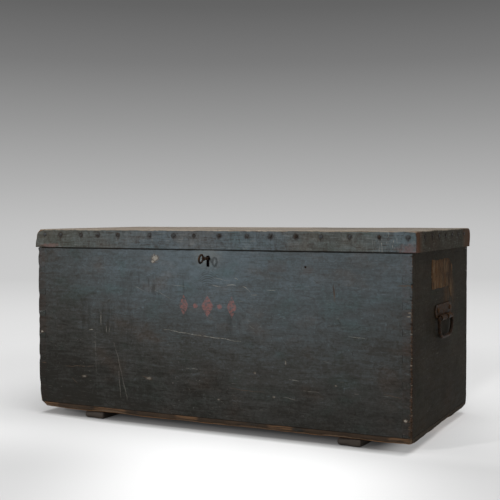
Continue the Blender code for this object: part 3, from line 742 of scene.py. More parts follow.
def painted_wood(
    name, axis, seed=0, tone=None, ends=None, extra=None, inside=None, wear_share=1.0, scuffs=0.0,
    warmth=None, busy=0.3,
):
    """Old paint on wood: cloudy, dulled, rubbed along the fibres, gone from the worn arrises.

    tone gives the paint's lightness from 0 to 1, ends the share of brown end grain, inside the share of bare
    wood, scuffs how much the paint is scuffed through, warmth where it is browned with dirt, busy how
    strongly the grain shows through it, and extra adds marks of a board's own. The clouds and stains run on
    from board to board where boards share a seed.
    """
    s = Sketch(name)
    tones = s.tones
    fibre = s.noise(480.0, along_grain(axis, 0.06), seed, 3.0)
    streak = s.noise(120.0, along_grain(axis, 0.12), seed + 1, 4.0, 0.65, 0.4)
    cloud = s.noise(4.2, (1, 1, 1), seed + 2, 5.0, 0.6)
    blotch = s.noise(24.0, along_grain(axis, 0.6), seed + 3, 5.0, 0.65, 0.5)
    mottle = s.noise(135.0, along_grain(axis, 0.8), seed + 4, 4.0, 0.65, 1.0)
    speck = s.noise(340.0, (1, 1, 1), seed + 5, 1.0)
    tint = s.noise(13.0, along_grain(axis, 0.6), seed + 6, 4.0, 0.6)
    figure = s.noise(17.0, along_grain(axis, 0.12), seed + 8, 2.0, 0.5, 0.6)
    fine = s.noise(175.0, along_grain(axis, 0.13), seed + 7, 5.0, 0.72, 0.3)

    level = tone(s) if tone else 0.5
    spread = (cloud - 0.5) * 0.50 + (streak - 0.5) * 0.42 + (blotch - 0.5) * 0.50
    level = spread + (fibre - 0.5) * 0.24 + level
    level = (mottle - 0.5) * 0.66 + level
    level = (fine - 0.5) * (busy(s) if callable(busy) else busy) + level
    line = (figure.math("PINGPONG", figure * 9.0, 0.5) - 0.25).size()
    level = level - line.ease(0.05, 0.0) * blotch.ease(0.46, 0.60) * 0.16
    for k, (turn, share) in enumerate(((0.35, 0.20), (-0.5, 0.16), (1.45, 0.20))):
        rub = s.noise(230.0, (0.09, 0.09, 1), seed + 20 + k, 1.0, 0.5, 0.0, (0, turn, 0))
        level = level + rub.ease(0.66, 0.80) * (blotch if k % 2 else mottle).ease(0.46, 0.62) * share
    ends_of_scale = (0.0, tones.paint_dark), (1.0, tones.paint_pale)
    paint = s.ramp(level, *ends_of_scale, (0.34, tones.paint_mid), (0.68, tones.paint_light))
    paint = s.tinted(tint.ease(0.50, 0.70), paint, (1.12, 0.98, 0.92))
    paint = s.tinted(tint.ease(0.48, 0.32), paint, (0.92, 1.02, 1.00))
    if warmth:
        paint = s.tinted(warmth(s), paint, (1.0, 0.86, 0.67))

    worn = s.attribute("worn")
    chipped = (blotch - 0.5) * 1.5 + (speck - 0.5) * 0.9 + (fibre - 0.5) * 0.8
    bare = (worn * (0.9 * wear_share) + chipped).ease(0.40, 0.68) * worn.ease(0.03, 0.22)
    wood = s.mix((streak - 0.25) * 1.5, tones.bare_edge, tones.grime)
    wood = s.mix((worn * 0.35 + speck - 0.5).ease(0.55, 0.9) * 0.35, wood, tones.bare_pale)
    colour = s.mix(bare, paint, wood)
    height = fibre * 0.30 + streak * 0.45 + mottle * 0.25 - bare * 0.9
    rough = (streak - 0.5) * 0.4 + bare * 0.2 + 0.60
    if scuffs:
        rub = s.noise(75.0, (1, 1, 0.8), seed + 9, 5.0, 0.7, 0.6)
        rub = rub + (fibre - 0.5) * 0.6
        colour = s.mix(rub.ease(0.54, 0.72) * scuffs, colour, tones.scuff)
        colour = s.mix(rub.ease(0.47, 0.32) * scuffs * 1.4, colour, tones.grime)
    if ends is not None:
        end_grain = ends(s)
        pores = s.noise(900.0, (1, 1, 1), seed + 10, 2.0)
        wood = s.mix(pores, tones.grime, tones.end_grain)
        colour = s.mix(end_grain * (0.45 + blotch * 0.6), colour, wood)
        height = height + pores * end_grain * 0.8
    tick = s.noise(300.0, along_grain(axis, 0.14), seed + 11, 1.0)
    tick = tick.ease(0.68, 0.78) * blotch.ease(0.48, 0.66)
    colour = s.mix(tick * 0.16, colour, tones.chip)
    dot = speck.ease(0.735, 0.775) * cloud.ease(0.58, 0.42)
    colour = s.mix(dot * 0.30, colour, tones.chip)
    height = height - tick * 0.5
    if extra:
        colour, height = extra(s, colour, height)
    if inside:
        share = inside(s)
        ring = rings(s, axis, seed)
        pine = s.mix(ring * 0.5 + (streak - 0.4), tones.pine, tones.pine_dark)
        pine = s.mix(tint.ease(0.40, 0.75) * 0.7, pine, tones.grime)
        colour = s.mix(share, colour, pine)
    return s.finish(colour, rough, height, 0.0004, specular=paint_gloss)


def iron(name, seed=0, rusty=0.5, scale=1.0, film=0.0):
    """Wrought iron: dark scale that rust eats into, brown and then bright, with pits. film is how much old
    paint is left on it in patches."""
    s = Sketch(name)
    tones = s.tones
    coarse = s.noise(95.0 * scale, seed=seed, detail=5.0, roughness=0.62)
    fine = s.noise(700.0 * scale, seed=seed + 1, detail=3.0)
    share = (coarse + (fine - 0.5) * 0.35).ease(0.54 - rusty * 0.35, 0.88 - rusty * 0.35)
    bright = (s.noise(210.0 * scale, seed=seed + 2, detail=4.0) + (fine - 0.5) * 0.4).ease(0.62, 0.80)
    colour = s.mix(share, tones.iron, tones.rust)
    colour = s.mix(share * bright * (0.4 + 0.6 * rusty), colour, tones.rust_bright)
    if film:
        patch = s.noise(60.0, seed=seed + 3, detail=3.0).ease(0.38, 0.60)
        colour = s.mix(patch * film, colour, tones.paint_light)
    rough = share * 0.26 + (fine - 0.5) * 0.25 + 0.54
    height = share * 0.5 + coarse * 0.8 + fine * 0.35
    return s.finish(colour, rough, height, 0.0005, specular=0.10)


def steel(name, axis="X", seed=0):
    """Dull filed steel with spots of rust."""
    s = Sketch(name)
    tones = s.tones
    filed = s.noise(1800.0, along_grain(axis, 0.03), seed, 2.0)
    spots = s.noise(150.0, seed=seed + 1, detail=5.0, roughness=0.65)
    share = spots.ease(0.50, 0.66)
    colour = s.mix(filed, tones.steel, tones.iron)
    colour = s.mix(share, colour, tones.rust)
    rough = 0.34 + share * 0.4 + (filed - 0.5) * 0.2
    return s.finish(colour, rough, filed * 0.5 + share, 0.00012, (1.0 - share) * 0.9)


# Walls and bottom

wall_gap = 0.0003
tail_count = 7
pin_width = 0.010
tail_slope = 6
leaf_thickness = 0.0025
hinge_leaf_depth = leaf_thickness + wall_gap
hinge_names = ("left", "middle", "right")

# How far a cut runs on past the face that it opens.
clear = 0.001


def housing(node, y_high, z_low, z_high):
    """The cut for a node that is let into a board: its box with a gap round it, and three given ends."""
    low, high = box(node)
    return (low[0] - wall_gap, low[1] - wall_gap, z_low), (high[0] + wall_gap, y_high, z_high)


def tail_ends(side, x, grow=0.0):
    """The low and high edge of each tail at a distance x from the middle."""
    pitch = (front_high[2] - front_low[2]) / tail_count
    half = (pitch - pin_width) / 2 - (front_high[0] - x) / tail_slope + grow
    centres = front_low[2] + (np.arange(tail_count) + 0.5) * pitch
    return centres + side * half


shoulder = float(box("right_end_board")[0][0]) - wall_gap


def tail_rows(grow):
    """Heights that the grid must hit at the tails' roots, and where they go at the tails' tips."""
    roots = np.sort(np.concatenate([tail_ends(s, shoulder, grow) for s in (-1, 1)]))
    tips = np.sort(np.concatenate([tail_ends(s, front_high[0], grow) for s in (-1, 1)]))
    return roots, tips


def slanted(grow):
    """Moves heights from the tails' roots to their tips, in proportion to how far out a point lies."""
    at_roots, at_tips = (np.concatenate([front_low[2:], row, front_high[2:]]) for row in tail_rows(grow))

    def shift(points):
        out = np.clip((np.abs(points[:, 0]) - shoulder) / (front_high[0] - shoulder), 0, 1)
        goal = np.interp(points[:, 2], at_roots, at_tips)
        moved = points.copy()
        moved[:, 2] += out * (goal - points[:, 2])
        return moved

    return shift


def in_tail(z, grow):
    """Which heights lie in a tail at its root."""
    lows, highs = tail_ends(-1, shoulder, grow), tail_ends(1, shoulder, grow)
    return ((z[:, None] > lows) & (z[:, None] < highs)).any(axis=1)


def keyhole_cutter():
    """A prism through the front: a round hole about the key's axis with a slot hanging from it."""
    sizes = bpy.context.scene.chest_sizes
    radius, half, drop = sizes.keyhole_radius, sizes.keyhole_slot / 2, sizes.keyhole_drop
    ahead, depth = 0.01, 0.0046
    start = math.asin(half / radius)
    turn = np.linspace(start, 2 * math.pi - start, 40)
    ring = np.stack([-radius * np.sin(turn), -radius * np.cos(turn)], axis=1)
    slot = [(half, -drop * 0.96), (half * 0.7, -drop), (-half * 0.7, -drop), (-half, -drop * 0.96)]
    ring = np.concatenate([ring, slot]) + (key_x, key_z)
    count = len(ring)
    near = np.column_stack([ring[:, 0], np.full(count, front_low[1] - ahead), ring[:, 1]])
    far = near + (0, ahead + depth, 0)
    mesh = bpy.data.meshes.new("keyhole")
    index = np.arange(count)
    after = np.roll(index, -1)
    sides = np.stack([index, after, after + count, index + count], axis=1)
    caps = [index.tolist()[::-1], (index + count).tolist()]
    mesh.from_pydata(np.concatenate([near, far]).tolist(), [], caps + sides.tolist())
    with reworked(mesh) as work:
        bmesh.ops.recalc_face_normals(work, faces=work.faces)
    cutter = bpy.data.objects.new("keyhole", mesh)
    bpy.context.scene.collection.objects.link(cutter)
    return cutter


def cut(target, cutter):
    """Takes a cutter out of a piece for good, and removes the cutter."""
    modifier = target.modifiers.new("cut", "BOOLEAN")
    modifier.object = cutter
    modifier.solver = "EXACT"
    bpy.context.view_layer.update()
    made = target.evaluated_get(bpy.context.evaluated_depsgraph_get())
    old = target.data
    target.data = bpy.data.meshes.new_from_object(made)
    target.modifiers.remove(modifier)
    bpy.data.meshes.remove(old)
    bpy.data.objects.remove(cutter)


def front_tone_and_sheen(s):
    """Lightness of the front's paint: dark at left and at the foot, and lightest above the middle and right
    of it, where the lamp's sheen on the paint is painted in.
    """
    # rise and sheen_middle paint the lamp's sheen: lighter upwards and about the middle.
    rise = s.z.ease(0.02, 0.44)
    sheen_middle = (1.0 - ((s.x - 0.06) / 0.62) ** 2.0).most(0.0)
    left = s.x.ease(-0.05, -0.36) * 0.10
    return rise * 0.36 + sheen_middle * rise * 0.34 + sheen_middle * 0.06 + 0.08 - left


def front_busy(s):
    """The grain shows most through the dark paint of the foot and the left."""
    return s.z.ease(0.38, 0.16) * s.x.ease(0.45, -0.20) * 0.50 + s.x.ease(0.1, -0.4) * 0.15 + 0.15


def end_share(s):
    """1 on the end faces and the back of carcase and lid, 0 on the front face, which the two share."""
    return s.y.ease(front_low[1] + 0.0005, front_low[1] + 0.0035)


def wall_tone_sheen_and_shade(s):
    """Lightness of the walls' paint: the front's, with its painted sheen, on the front face, and round the
    corner a darker one, painted shade for the weaker light on the ends and the back.
    """
    front = front_tone_and_sheen(s)
    # The darker tone of the ends and the back is painted shade.
    return front + (s.z.ease(0.05, 0.42) * 0.05 + 0.08 - front) * end_share(s)


# Marks on the front: start and end of each scratch as (x, z), and its half width.
pale_scratches = (
    ((-0.122, 0.2425), (-0.040, 0.2330), 0.0009),
    ((-0.045, 0.2335), (0.090, 0.2235), 0.0011),
    ((-0.310, 0.277), (-0.309, 0.243), 0.0010),
    ((-0.293, 0.242), (-0.292, 0.225), 0.0007),
    ((-0.285, 0.238), (-0.2845, 0.226), 0.0007),
    ((-0.347, 0.2285), (-0.335, 0.2292), 0.0013),
    ((0.112, 0.262), (0.128, 0.254), 0.0007),
    ((0.054, 0.3560), (0.078, 0.3559), 0.0015),
    ((0.073, 0.3738), (0.082, 0.3695), 0.0012),
    ((0.014, 0.3550), (0.037, 0.3524), 0.0009),
    ((0.096, 0.3545), (0.106, 0.3495), 0.0011),
    ((0.118, 0.3347), (0.133, 0.3345), 0.0010),
    ((0.157, 0.3474), (0.180, 0.3477), 0.0009),
    ((0.099, 0.3540), (0.115, 0.3405), 0.0007),
    ((0.016, 0.372), (0.060, 0.366), 0.0006),
    ((0.300, 0.190), (0.318, 0.187), 0.0008),
    ((0.215, 0.143), (0.238, 0.141), 0.0009),
    ((-0.210, 0.346), (-0.180, 0.334), 0.0006),
    ((-0.150, 0.338), (-0.105, 0.318), 0.0006),
    ((-0.100, 0.352), (-0.060, 0.349), 0.0006),
    ((0.250, 0.118), (0.290, 0.117), 0.0008),
    ((0.200, 0.098), (0.236, 0.096), 0.0008),
    ((-0.060, 0.150), (-0.020, 0.147), 0.0007),
    ((0.360, 0.250), (0.400, 0.247), 0.0007),
)
faint_scratches = (
    ((-0.328, 0.222), (-0.326, 0.120), 0.0009),
    ((-0.270, 0.200), (-0.244, 0.110), 0.0012),
    ((-0.257, 0.130), (-0.251, 0.062), 0.0014),
    ((-0.244, 0.112), (-0.232, 0.058), 0.0014),
)
brown_scratches = (
    ((-0.424, 0.1305), (-0.333, 0.1365), 0.0011),
    ((-0.498, 0.134), (-0.486, 0.134), 0.0016),
    ((0.444, 0.1255), (0.483, 0.1205), 0.0011),
    ((0.325, 0.363), (0.327, 0.328), 0.0030),
    ((-0.402, 0.100), (-0.384, 0.088), 0.0012),
    ((-0.186, 0.122), (-0.160, 0.113), 0.0014),
    ((0.476, 0.3668), (0.509, 0.3672), 0.0021),
    ((0.06, 0.110), (0.15, 0.106), 0.0009),
)
dark_scratches = (
    ((0.3245, 0.3650), (0.3265, 0.3420), 0.0017),
    ((0.4860, 0.3715), (0.5080, 0.3700), 0.0012),
)
# Chips and smears on the front: each one's middle as (x, z), and its half width and half height.
pale_chips = (
    ((-0.147, 0.416), (0.0075, 0.0065)),
    ((-0.153, 0.408), (0.0038, 0.0028)),
    ((0.493, 0.071), (0.0032, 0.0030)),
    ((-0.498, 0.217), (0.0030, 0.0022)),
    ((0.502, 0.3085), (0.0036, 0.0009)),
    ((0.500, 0.300), (0.0038, 0.0009)),
    ((0.501, 0.268), (0.0030, 0.0022)),
    ((0.503, 0.206), (0.0040, 0.0022)),
)
faint_chips = (
    ((-0.167, 0.117), (0.0060, 0.0028)),
    ((-0.364, 0.108), (0.0055, 0.0022)),
    ((0.127, 0.151), (0.0024, 0.0018)),
    ((0.330, 0.136), (0.0022, 0.0014)),
    ((0.030, 0.080), (0.0024, 0.0016)),
    ((0.176, 0.098), (0.0024, 0.0016)),
    ((0.206, 0.180), (0.0016, 0.0042)),
)
dark_smears = (
    ((-0.135, 0.352), (0.11, 0.030)),
    ((0.075, 0.262), (0.022, 0.024)),
    ((-0.31, 0.255), (0.10, 0.05)),
    ((-0.27, 0.09), (0.20, 0.08)),
)
# The faded mark: lozenges and dots in a row, as (x, z), half width and half height.
mark_lozenges = (
    ((-0.066, 0.303), (0.013, 0.026)),
    ((0.000, 0.303), (0.017, 0.026)),
    ((0.066, 0.303), (0.013, 0.026)),
)
mark_dots = (((-0.033, 0.303), 0.0065), ((0.033, 0.303), 0.0065))


def face_spot(s, middle, half, *look):
    """A spot on the chest's front, given by its middle as (x, z), and its half width and half height."""
    return s.spot((middle[0], front_low[1], middle[1]), (half[0], 0.02, half[1]), *look)


def front_marks(s, colour, height):
    """What years of use left on the front: a faded mark, scratches, chips, arched grain that shows through
    the paint, paint rubbed pale round the keyhole, and a nail hole; and painted shade inside the keyhole."""
    tones = s.tones
    face = front_low[1]
    rubbed = s.noise(170.0, along_grain("X", 0.6), 31, 4.0, 0.65)
    shapes = [
        (((s.x - x) / wide).size() + ((s.z - z) / high).size()).ease(1.06, 0.94)
        for (x, z), (wide, high) in mark_lozenges
    ]
    shapes += [s.spot((x, face, z), (reach, 0.01, reach), 0.0, 0.1) for (x, z), reach in mark_dots]
    colour = s.mix(reduce(Wire.most, shapes) * rubbed.ease(0.34, 0.62) * 0.75, colour, tones.mark)

    band = s.x.size().ease(shoulder - 0.0012, shoulder) * rubbed.ease(0.30, 0.60)
    colour = s.tinted(band * 0.8, colour, (1.10, 0.98, 0.96))
    arch = (((s.x - 0.0015) ** 2.0) * 20.0 + s.z) / 0.0056
    arch = (arch.math("PINGPONG", arch, 0.5) - 0.05).ease(0.28, 0.08)
    seen = face_spot(s, (0.0015, 0.371), (0.020, 0.016), 1.2, 0.6, 90)
    colour = s.mix(arch * seen * 0.40, colour, tones.paint_dark)
    smear = s.noise(70.0, (1, 1, 0.16), 33, 4.0, 0.65, 0.5).ease(0.50, 0.66)
    for row in dark_smears:
        colour = s.mix(smear * face_spot(s, *row, 1.4, 0.6, 40) * 0.45, colour, tones.paint_dark)
    ghost = ((s.x - 0.1845) / 0.0255).size().most(((s.z - 0.4035) / 0.0145).size())
    colour = s.mix(ghost.ease(1.10, 0.80) * 0.20, colour, tones.stain)

    rub = face_spot(s, (key_x, key_z + 0.006), (0.032, 0.026), 1.0, 0.7, 120)
    colour = s.mix(rub * rubbed.ease(0.25, 0.50) * 0.46, colour, tones.scuff)
    # The keyhole's inside, past the paint at its lip, is painted near black: painted shade.
    hole_low = key_x - 0.012, face + 0.0017, key_z - 0.025
    hole_high = key_x + 0.012, front_high[1], key_z + 0.012
    colour = s.mix(within(hole_low, hole_high)(s), colour, keyhole_painted_shade)

    for rows, shade, share in (
        (pale_scratches, tones.chip, 0.50), (faint_scratches, tones.chip, 0.22),
        (brown_scratches, tones.bare_edge, 0.75), (dark_scratches, tones.iron, 0.60),
    ):
        for start, end, width in rows:
            line = s.scratch((start[0], face, start[1]), (end[0], face, end[1]), width)
            line = line * rubbed.ease(0.34, 0.50)
            colour = s.mix(line * share, colour, shade)
            height = height - line * 0.8
    for rows, share in ((pale_chips, 0.52), (faint_chips, 0.24)):
        for middle, (wide, high) in rows:
            rim = face_spot(s, middle, (wide * 1.5, high * 1.5), 2.4, 0.3, 300)
            chip = face_spot(s, middle, (wide, high), 3.0, 0.3, 380)
            colour = s.mix(rim * share, colour, tones.bare_edge)
            colour = s.mix(chip * share, colour, tones.chip)
            height = height - rim * share
    hole = face_spot(s, (0.256, 0.403), (0.0026, 0.0026), 0.4, 0.25)
    stain = face_spot(s, (0.262, 0.396), (0.012, 0.008), 1.2, 0.4, 200)
    colour = s.mix(stain * 0.25, colour, tones.stain)
    colour = s.mix(hole, colour, tones.iron)
    height = height - hole * 2.0
    return colour, height


cavity = (
    np.array((-shoulder, front_high[1], bottom_high[2])) - 0.0006,
    np.array((shoulder, back_low[1], front_high[2] + 0.01)) + 0.0006,
)
foot = (carcase[0] - 0.01, np.array((*(carcase[1][:2] + 0.01), bottom_low[2] + 0.0012)))


def bare_places(s):
    """The paint stops at the cavity and under the bottom."""
    return within(*cavity)(s).most(within(*foot)(s))


def wall_paint(name, axis, **own):
    """The carcase's paint, whose clouds and stains run on from board to board, with a board's own marks."""
    return painted_wood(name, axis, 1, wall_tone_sheen_and_shade, inside=bare_places, warmth=end_share, **own)


def lipped(points):
    """Bevels the top front arris of the walls, so that a dark line shows under the lid: near the top, a point
    at a distance from the front face moves back by the bevel's depth less its share of that distance."""
    deep, tall, reach = 0.0022, 0.0024, 0.0065
    depth = deep * (1 + 0.25 * waves(points, 0.12, 41) + 0.5 * np.clip(-points[:, 0] / 0.5, 0, 1))
    depth *= np.clip((points[:, 2] - (carcase[1][2] - tall)) / tall, 0, 1)
    away = points[:, 1] - front_low[1]
    moved = points.copy()
    moved[:, 1] += depth * np.clip(1 - away / reach, 0, 1)
    return moved


def rubbed_arris(s, colour, height):
    """Wood scuffed bare in patches along the right front arris, widest at the foot, with dark notches."""
    tones = s.tones
    away = (front_high[0] - s.x).most(s.y - front_low[1])
    grain = s.noise(170.0, (1, 1, 1.5), 66, 5.0, 0.7)
    notch = s.noise(210.0, (0.25, 0.25, 1), 67, 2.0)
    reach = s.z.ease(0.12, 0.02) * 0.0090 + s.z.ease(0.36, 0.28) * 0.0042 + 0.0018
    share = ((grain - 0.5) * 3.2 + 1.0 - away / reach).ease(0.30, 0.80)
    wood = s.mix(grain.ease(0.60, 0.42), tones.bare_edge, tones.grime)
    wood = s.mix(notch.ease(0.60, 0.70) * 0.5, wood, tones.chip)
    wood = s.mix(s.z.ease(0.07, 0.035) * 0.8, wood, tones.grime)
    colour = s.mix(share * 0.9, colour, wood)
    dark = notch.ease(0.42, 0.34) * away.ease(0.0075, 0.0030)
    return s.mix(dark * 0.7, colour, tones.iron), height - share * 0.5 - dark * 0.8


def wall_marks(own=None):
    """A wall's marks: dirt and painted shade in the joint under the lid, the rubbed arris, and any marks of
    its own.
    """

    def marks(s, colour, height):
        top = carcase[1][2]
        # Dirt and painted shade: a near black line along the top of the front face, at the joint.
        dirt = (s.z + (s.noise(55.0, (1, 1, 1), 43, 3.0) - 0.5) * 0.0020).ease(top - 0.0028, top - 0.0012)
        colour = s.mix(dirt * (1.0 - end_share(s)) * 0.9, colour, joint_dirt_and_shade)
        colour, height = rubbed_arris(s, colour, height)
        return own(s, colour, height) if own else (colour, height)

    return marks


class CHEST_OT_walls(bpy.types.Operator):
    """Makes the four dovetailed walls with their worn paint"""

    bl_idname = "chest.walls"
    bl_label = "Walls"

    def execute(self, context):
        lock_low, lock_high = box("lock_case")
        cap_low = box("lock_cap")[0]
        mortise = (
            (lock_low[0] - wall_gap, cap_low[1] - wall_gap, lock_low[2] - wall_gap),
            (lock_high[0] + wall_gap, front_high[1] + clear, front_high[2] + clear),
        )

        def tails(x, y, z):
            inside = (np.abs(x) < shoulder)[:, None, None]
            return inside | in_tail(z, 0.0)[None, None, :] | np.zeros((1, len(y), 1), bool)

        lines = ([-shoulder, shoulder], [], list(tail_rows(0.0)[0]))
        front = board(
            "front_wall", front_low, front_high, carcase_hull, [mortise], lines, tails,
            lambda points: lipped(slanted(0.0)(points)), seed=5,
        )
        cut(front, keyhole_cutter())
        creased(front)
        paint = wall_paint("front_paint", "X", extra=wall_marks(front_marks), busy=front_busy)
        dress(front, "chest", "painted_wood", paint, "front_board")

        ends = (back_high[1] + clear, back_high[2] - hinge_leaf_depth, back_high[2] + clear)
        recesses = [housing(f"hinge_{name}_lower_leaf", *ends) for name in hinge_names]
        back = board(
            "back_wall", back_low, back_high, carcase_hull, recesses, lines, tails, slanted(0.0), seed=5
        )
        dress(back, "chest", "painted_wood", wall_paint("back_paint", "X"), "back_board")

        lines = ([], [front_high[1] + wall_gap, back_low[1] - wall_gap], list(tail_rows(wall_gap)[0]))
        for name, own in (("left", None), ("right", end_marks)):
            node = f"{name}_end_board"

            def pins(x, y, z):
                between = (y > front_high[1] + wall_gap) & (y < back_low[1] - wall_gap)
                filled = between[None, :, None] | ~in_tail(z, wall_gap)[None, None, :]
                return filled | np.zeros((len(x), 1, 1), bool)

            end = board(
                f"{name}_wall", *box(node), carcase_hull, (), lines, pins,
                lambda points: lipped(slanted(wall_gap)(points)), seed=5,
            )
            paint = wall_paint(f"{name}_end_paint", "Y", extra=wall_marks(own), busy=0.2)
            dress(end, "chest", "painted_wood", paint, node)
        return {"FINISHED"}


def end_marks(s, colour, height):
    """Rust washed down between the label and the handle, and a pale dot behind the label."""
    tones = s.tones
    face = front_high[0]
    wash = s.noise(42.0, along_grain("Z", 0.3), 61, 4.0)
    stain = s.spot((face, 0.082, 0.332), (0.03, 0.045, 0.040), 0.9, 0.6, 60) * wash.ease(0.36, 0.60)
    colour = s.mix(stain * 0.40, colour, tones.paper)
    colour = s.mix(s.spot((face, 0.101, 0.391), (0.01, 0.0022, 0.0022), 0.3), colour, tones.chip)
    return colour, height


# Where the foot's wood is rubbed brightest: middle along the chest and half length.
bright_foot = ((-0.286, 0.046), (-0.470, 0.022), (0.485, 0.030), (0.190, 0.030), (-0.060, 0.030))


def foot_marks(s, colour, height):
    """The bottom boards' outer edges are rubbed down to brown wood, brightest just under the walls and in
    patches, and near black along the lowest edge."""
    tones = s.tones
    grain = s.noise(60.0, (0.35, 0.35, 1.0), 76, 4.0, 0.6)
    fine = s.noise(420.0, (0.08, 0.08, 1.0), 77, 3.0)
    edge = (bottom_high[2] - s.z) / (bottom_high[2] - bottom_low[2])
    patches = [((s.x - x).size() / reach).ease(1.2, 0.8) for x, reach in bright_foot]
    bright = reduce(Wire.most, patches)
    upper = (edge + (grain - 0.5) * 1.1).ease(0.62, 0.34)
    rubbed = (bright * 0.35 + (grain - 0.5) * 1.3 + 0.62).ease(0.30, 0.60) * (1.0 - end_share(s) * 0.8)
    share = (fine + (grain - 0.5)).ease(0.35, 0.65) * (bright * 0.6 + 0.25)
    wood = s.mix(share, tones.grime, tones.bare_edge)
    wood = s.mix(upper * (bright * 0.9 + 0.05) * fine.ease(0.30, 0.55), wood, tones.foot_wood)
    colour = s.mix(rubbed * 0.92, colour, wood)
    colour = s.mix(edge.ease(0.10, 0.02) * 0.7, colour, tones.iron)
    return colour, height - rubbed * 0.8


class CHEST_OT_bottom(bpy.types.Operator):
    """Makes the three bottom boards and the two skids"""

    bl_idname = "chest.bottom"
    bl_label = "Bottom and skids"

    def execute(self, context):
        for place in ("front", "middle", "back"):
            node = f"bottom_board_{place}"
            made = board(f"{place}_bottom", *box(node), carcase_hull, seed=7, step=0.006)
            paint = wall_paint(f"{place}_bottom_paint", "X", extra=foot_marks, wear_share=1.6)
            dress(made, "chest", "worn_wood", paint, node)
        for name, side in (("left", -1), ("right", 1)):
            node = f"{name}_skid"
            low, high = box(node)

            def skid_hull(points, low=low, high=high, side=side):
                return (low, high), wear(points, (low, high), 0.0010, skid_corner_shares, 80 + side)

            made = board(f"{name}_batten", low, high, skid_hull, seed=9 + side, step=0.006)
            wood = bare_wood(f"{name}_batten_wood", "Y", 85 + side, 0.80 - 0.12 * side)
            dress(made, "chest", "worn_wood", wood, node)
        return {"FINISHED"}


# Lid


def rim_tone_and_shade(s):
    """Lightness of the rims' paint, darker on the end faces and the back: painted shade for the weaker light
    there.
    """
    smear = s.noise(130.0, (1, 1, 0.22), 97, 4.0, 0.68, 0.4)
    front = s.x.ease(-0.5, 0.1) * 0.08 + 0.68
    smear = (smear - 0.5) * (1.0 - end_share(s) * 0.7) * 0.5
    # The darker tone of the ends and the back is painted shade.
    return front + (0.44 - front) * end_share(s) + smear


def rim_warmth(s):
    """Where the rims' paint is browned: on the ends, on the left of the front and in a patch at its right."""
    left = s.x.ease(-0.10, -0.48) * 0.8
    right = ((s.x - 0.33).size() / 0.13).ease(1.3, 0.4) * 0.6
    return end_share(s).most(left).most(right)


# Where the nails stand in the front rim, as shares of its length from the left.
front_nail_shares = (
    0.031, 0.080, 0.142, 0.194, 0.252, 0.343, 0.410, 0.465,
    0.532, 0.603, 0.662, 0.725, 0.784, 0.852, 0.918, 0.982,
)
back_nails = 12
back_nail_inset = 0.040
end_nails = 7
end_nail_inset = 0.066


def nail_rows():
    """Each rim's nails: the name of the rim, the axis and side they face, and their centres."""
    sizes = bpy.context.scene.chest_sizes
    z = lid[1][2] - sizes.nail_drop
    left, right = lid[0][0], lid[1][0]
    front, back = lid[0][1], lid[1][1]
    front_x = left + (right - left) * np.array(front_nail_shares)
    back_x = np.linspace(left + back_nail_inset, right - back_nail_inset, back_nails)
    end_y = np.linspace(front + end_nail_inset, back - end_nail_inset, end_nails)
    return {
        "front": ("Y", -1, [(x, front, z) for x in front_x]),
        "back": ("Y", 1, [(x, back, z) for x in back_x]),
        "left": ("X", -1, [(left, y, z) for y in end_y]),
        "right": ("X", 1, [(right, y, z) for y in end_y]),
    }


def rust_field(points, centres, seed, least):
    """Rust round and below each nail: a bell about its head, and a drip of its own length, width and
    strength, the strength at least the one given."""
    draw = np.random.default_rng(seed)
    total = np.zeros(len(points))
    for centre in centres:
        away = points - centre
        across = np.linalg.norm(away[:, :2], axis=1)
        halo = np.exp(-((across / 0.0090) ** 2) - (away[:, 2] / 0.0080) ** 2)
        length, width = draw.uniform(0.006, 0.024), draw.uniform(0.0020, 0.0045)
        share = draw.uniform(least, 1.0)
        drop = np.exp(-((away[:, 2] / np.where(away[:, 2] < 0, length, 0.003)) ** 2))
        total += draw.uniform(0.75, 1.1) * halo + share * 0.65 * drop * np.exp(-((across / width) ** 2))
    return np.clip(total, 0, 1)


def rim_marks(stains):
    """Rust round the nails, dirt and painted shade along the joint, pinkish stains where they are given, and
    a bare top.
    """

    def marks(s, colour, height):
        tones = s.tones
        rust = s.attribute("rust")
        broken = s.noise(300.0, along_grain("Z", 0.4), 91, 3.0)
        strength = end_share(s) * 0.35 + 0.55
        share = (rust + (broken - 0.5) * 0.9 * rust.ease(0.0, 0.2)).ease(0.14, 0.80)
        colour = s.mix(share * strength, colour, tones.rust_stain)
        colour = s.mix(share.ease(0.55, 1.0) * broken.ease(0.35, 0.6) * strength * 0.75, colour, tones.iron)
        # Dirt and painted shade along the front rim's lower edge, at the joint.
        dirt = s.z.ease(lid[0][2] + 0.0018, lid[0][2] + 0.0006) * (1.0 - end_share(s))
        colour = s.mix(dirt * 0.85, colour, joint_dirt_and_shade)
        corner = (s.y.size() + (broken - 0.5) * 0.03).ease(0.165, 0.205) * end_share(s)
        colour = s.mix(corner * 0.45, colour, tones.end_grain)
        for row in stains:
            colour = s.mix(face_spot(s, *row, 2.6, 0.7, 150) * 0.30, colour, tones.mark)
        scraped = s.noise(330.0, (1, 1, 0.16), 95, 2.0, 0.5, 0.0, (0, 0.12, 0)).ease(0.58, 0.70)
        place = face_spot(s, (0.452, lid[0][2] + 0.018), (0.035, 0.024), 1.5, 0.6, 60)
        colour = s.mix(scraped * place * 0.5, colour, tones.chip)
        return bare_top(s, colour, height)

    return marks


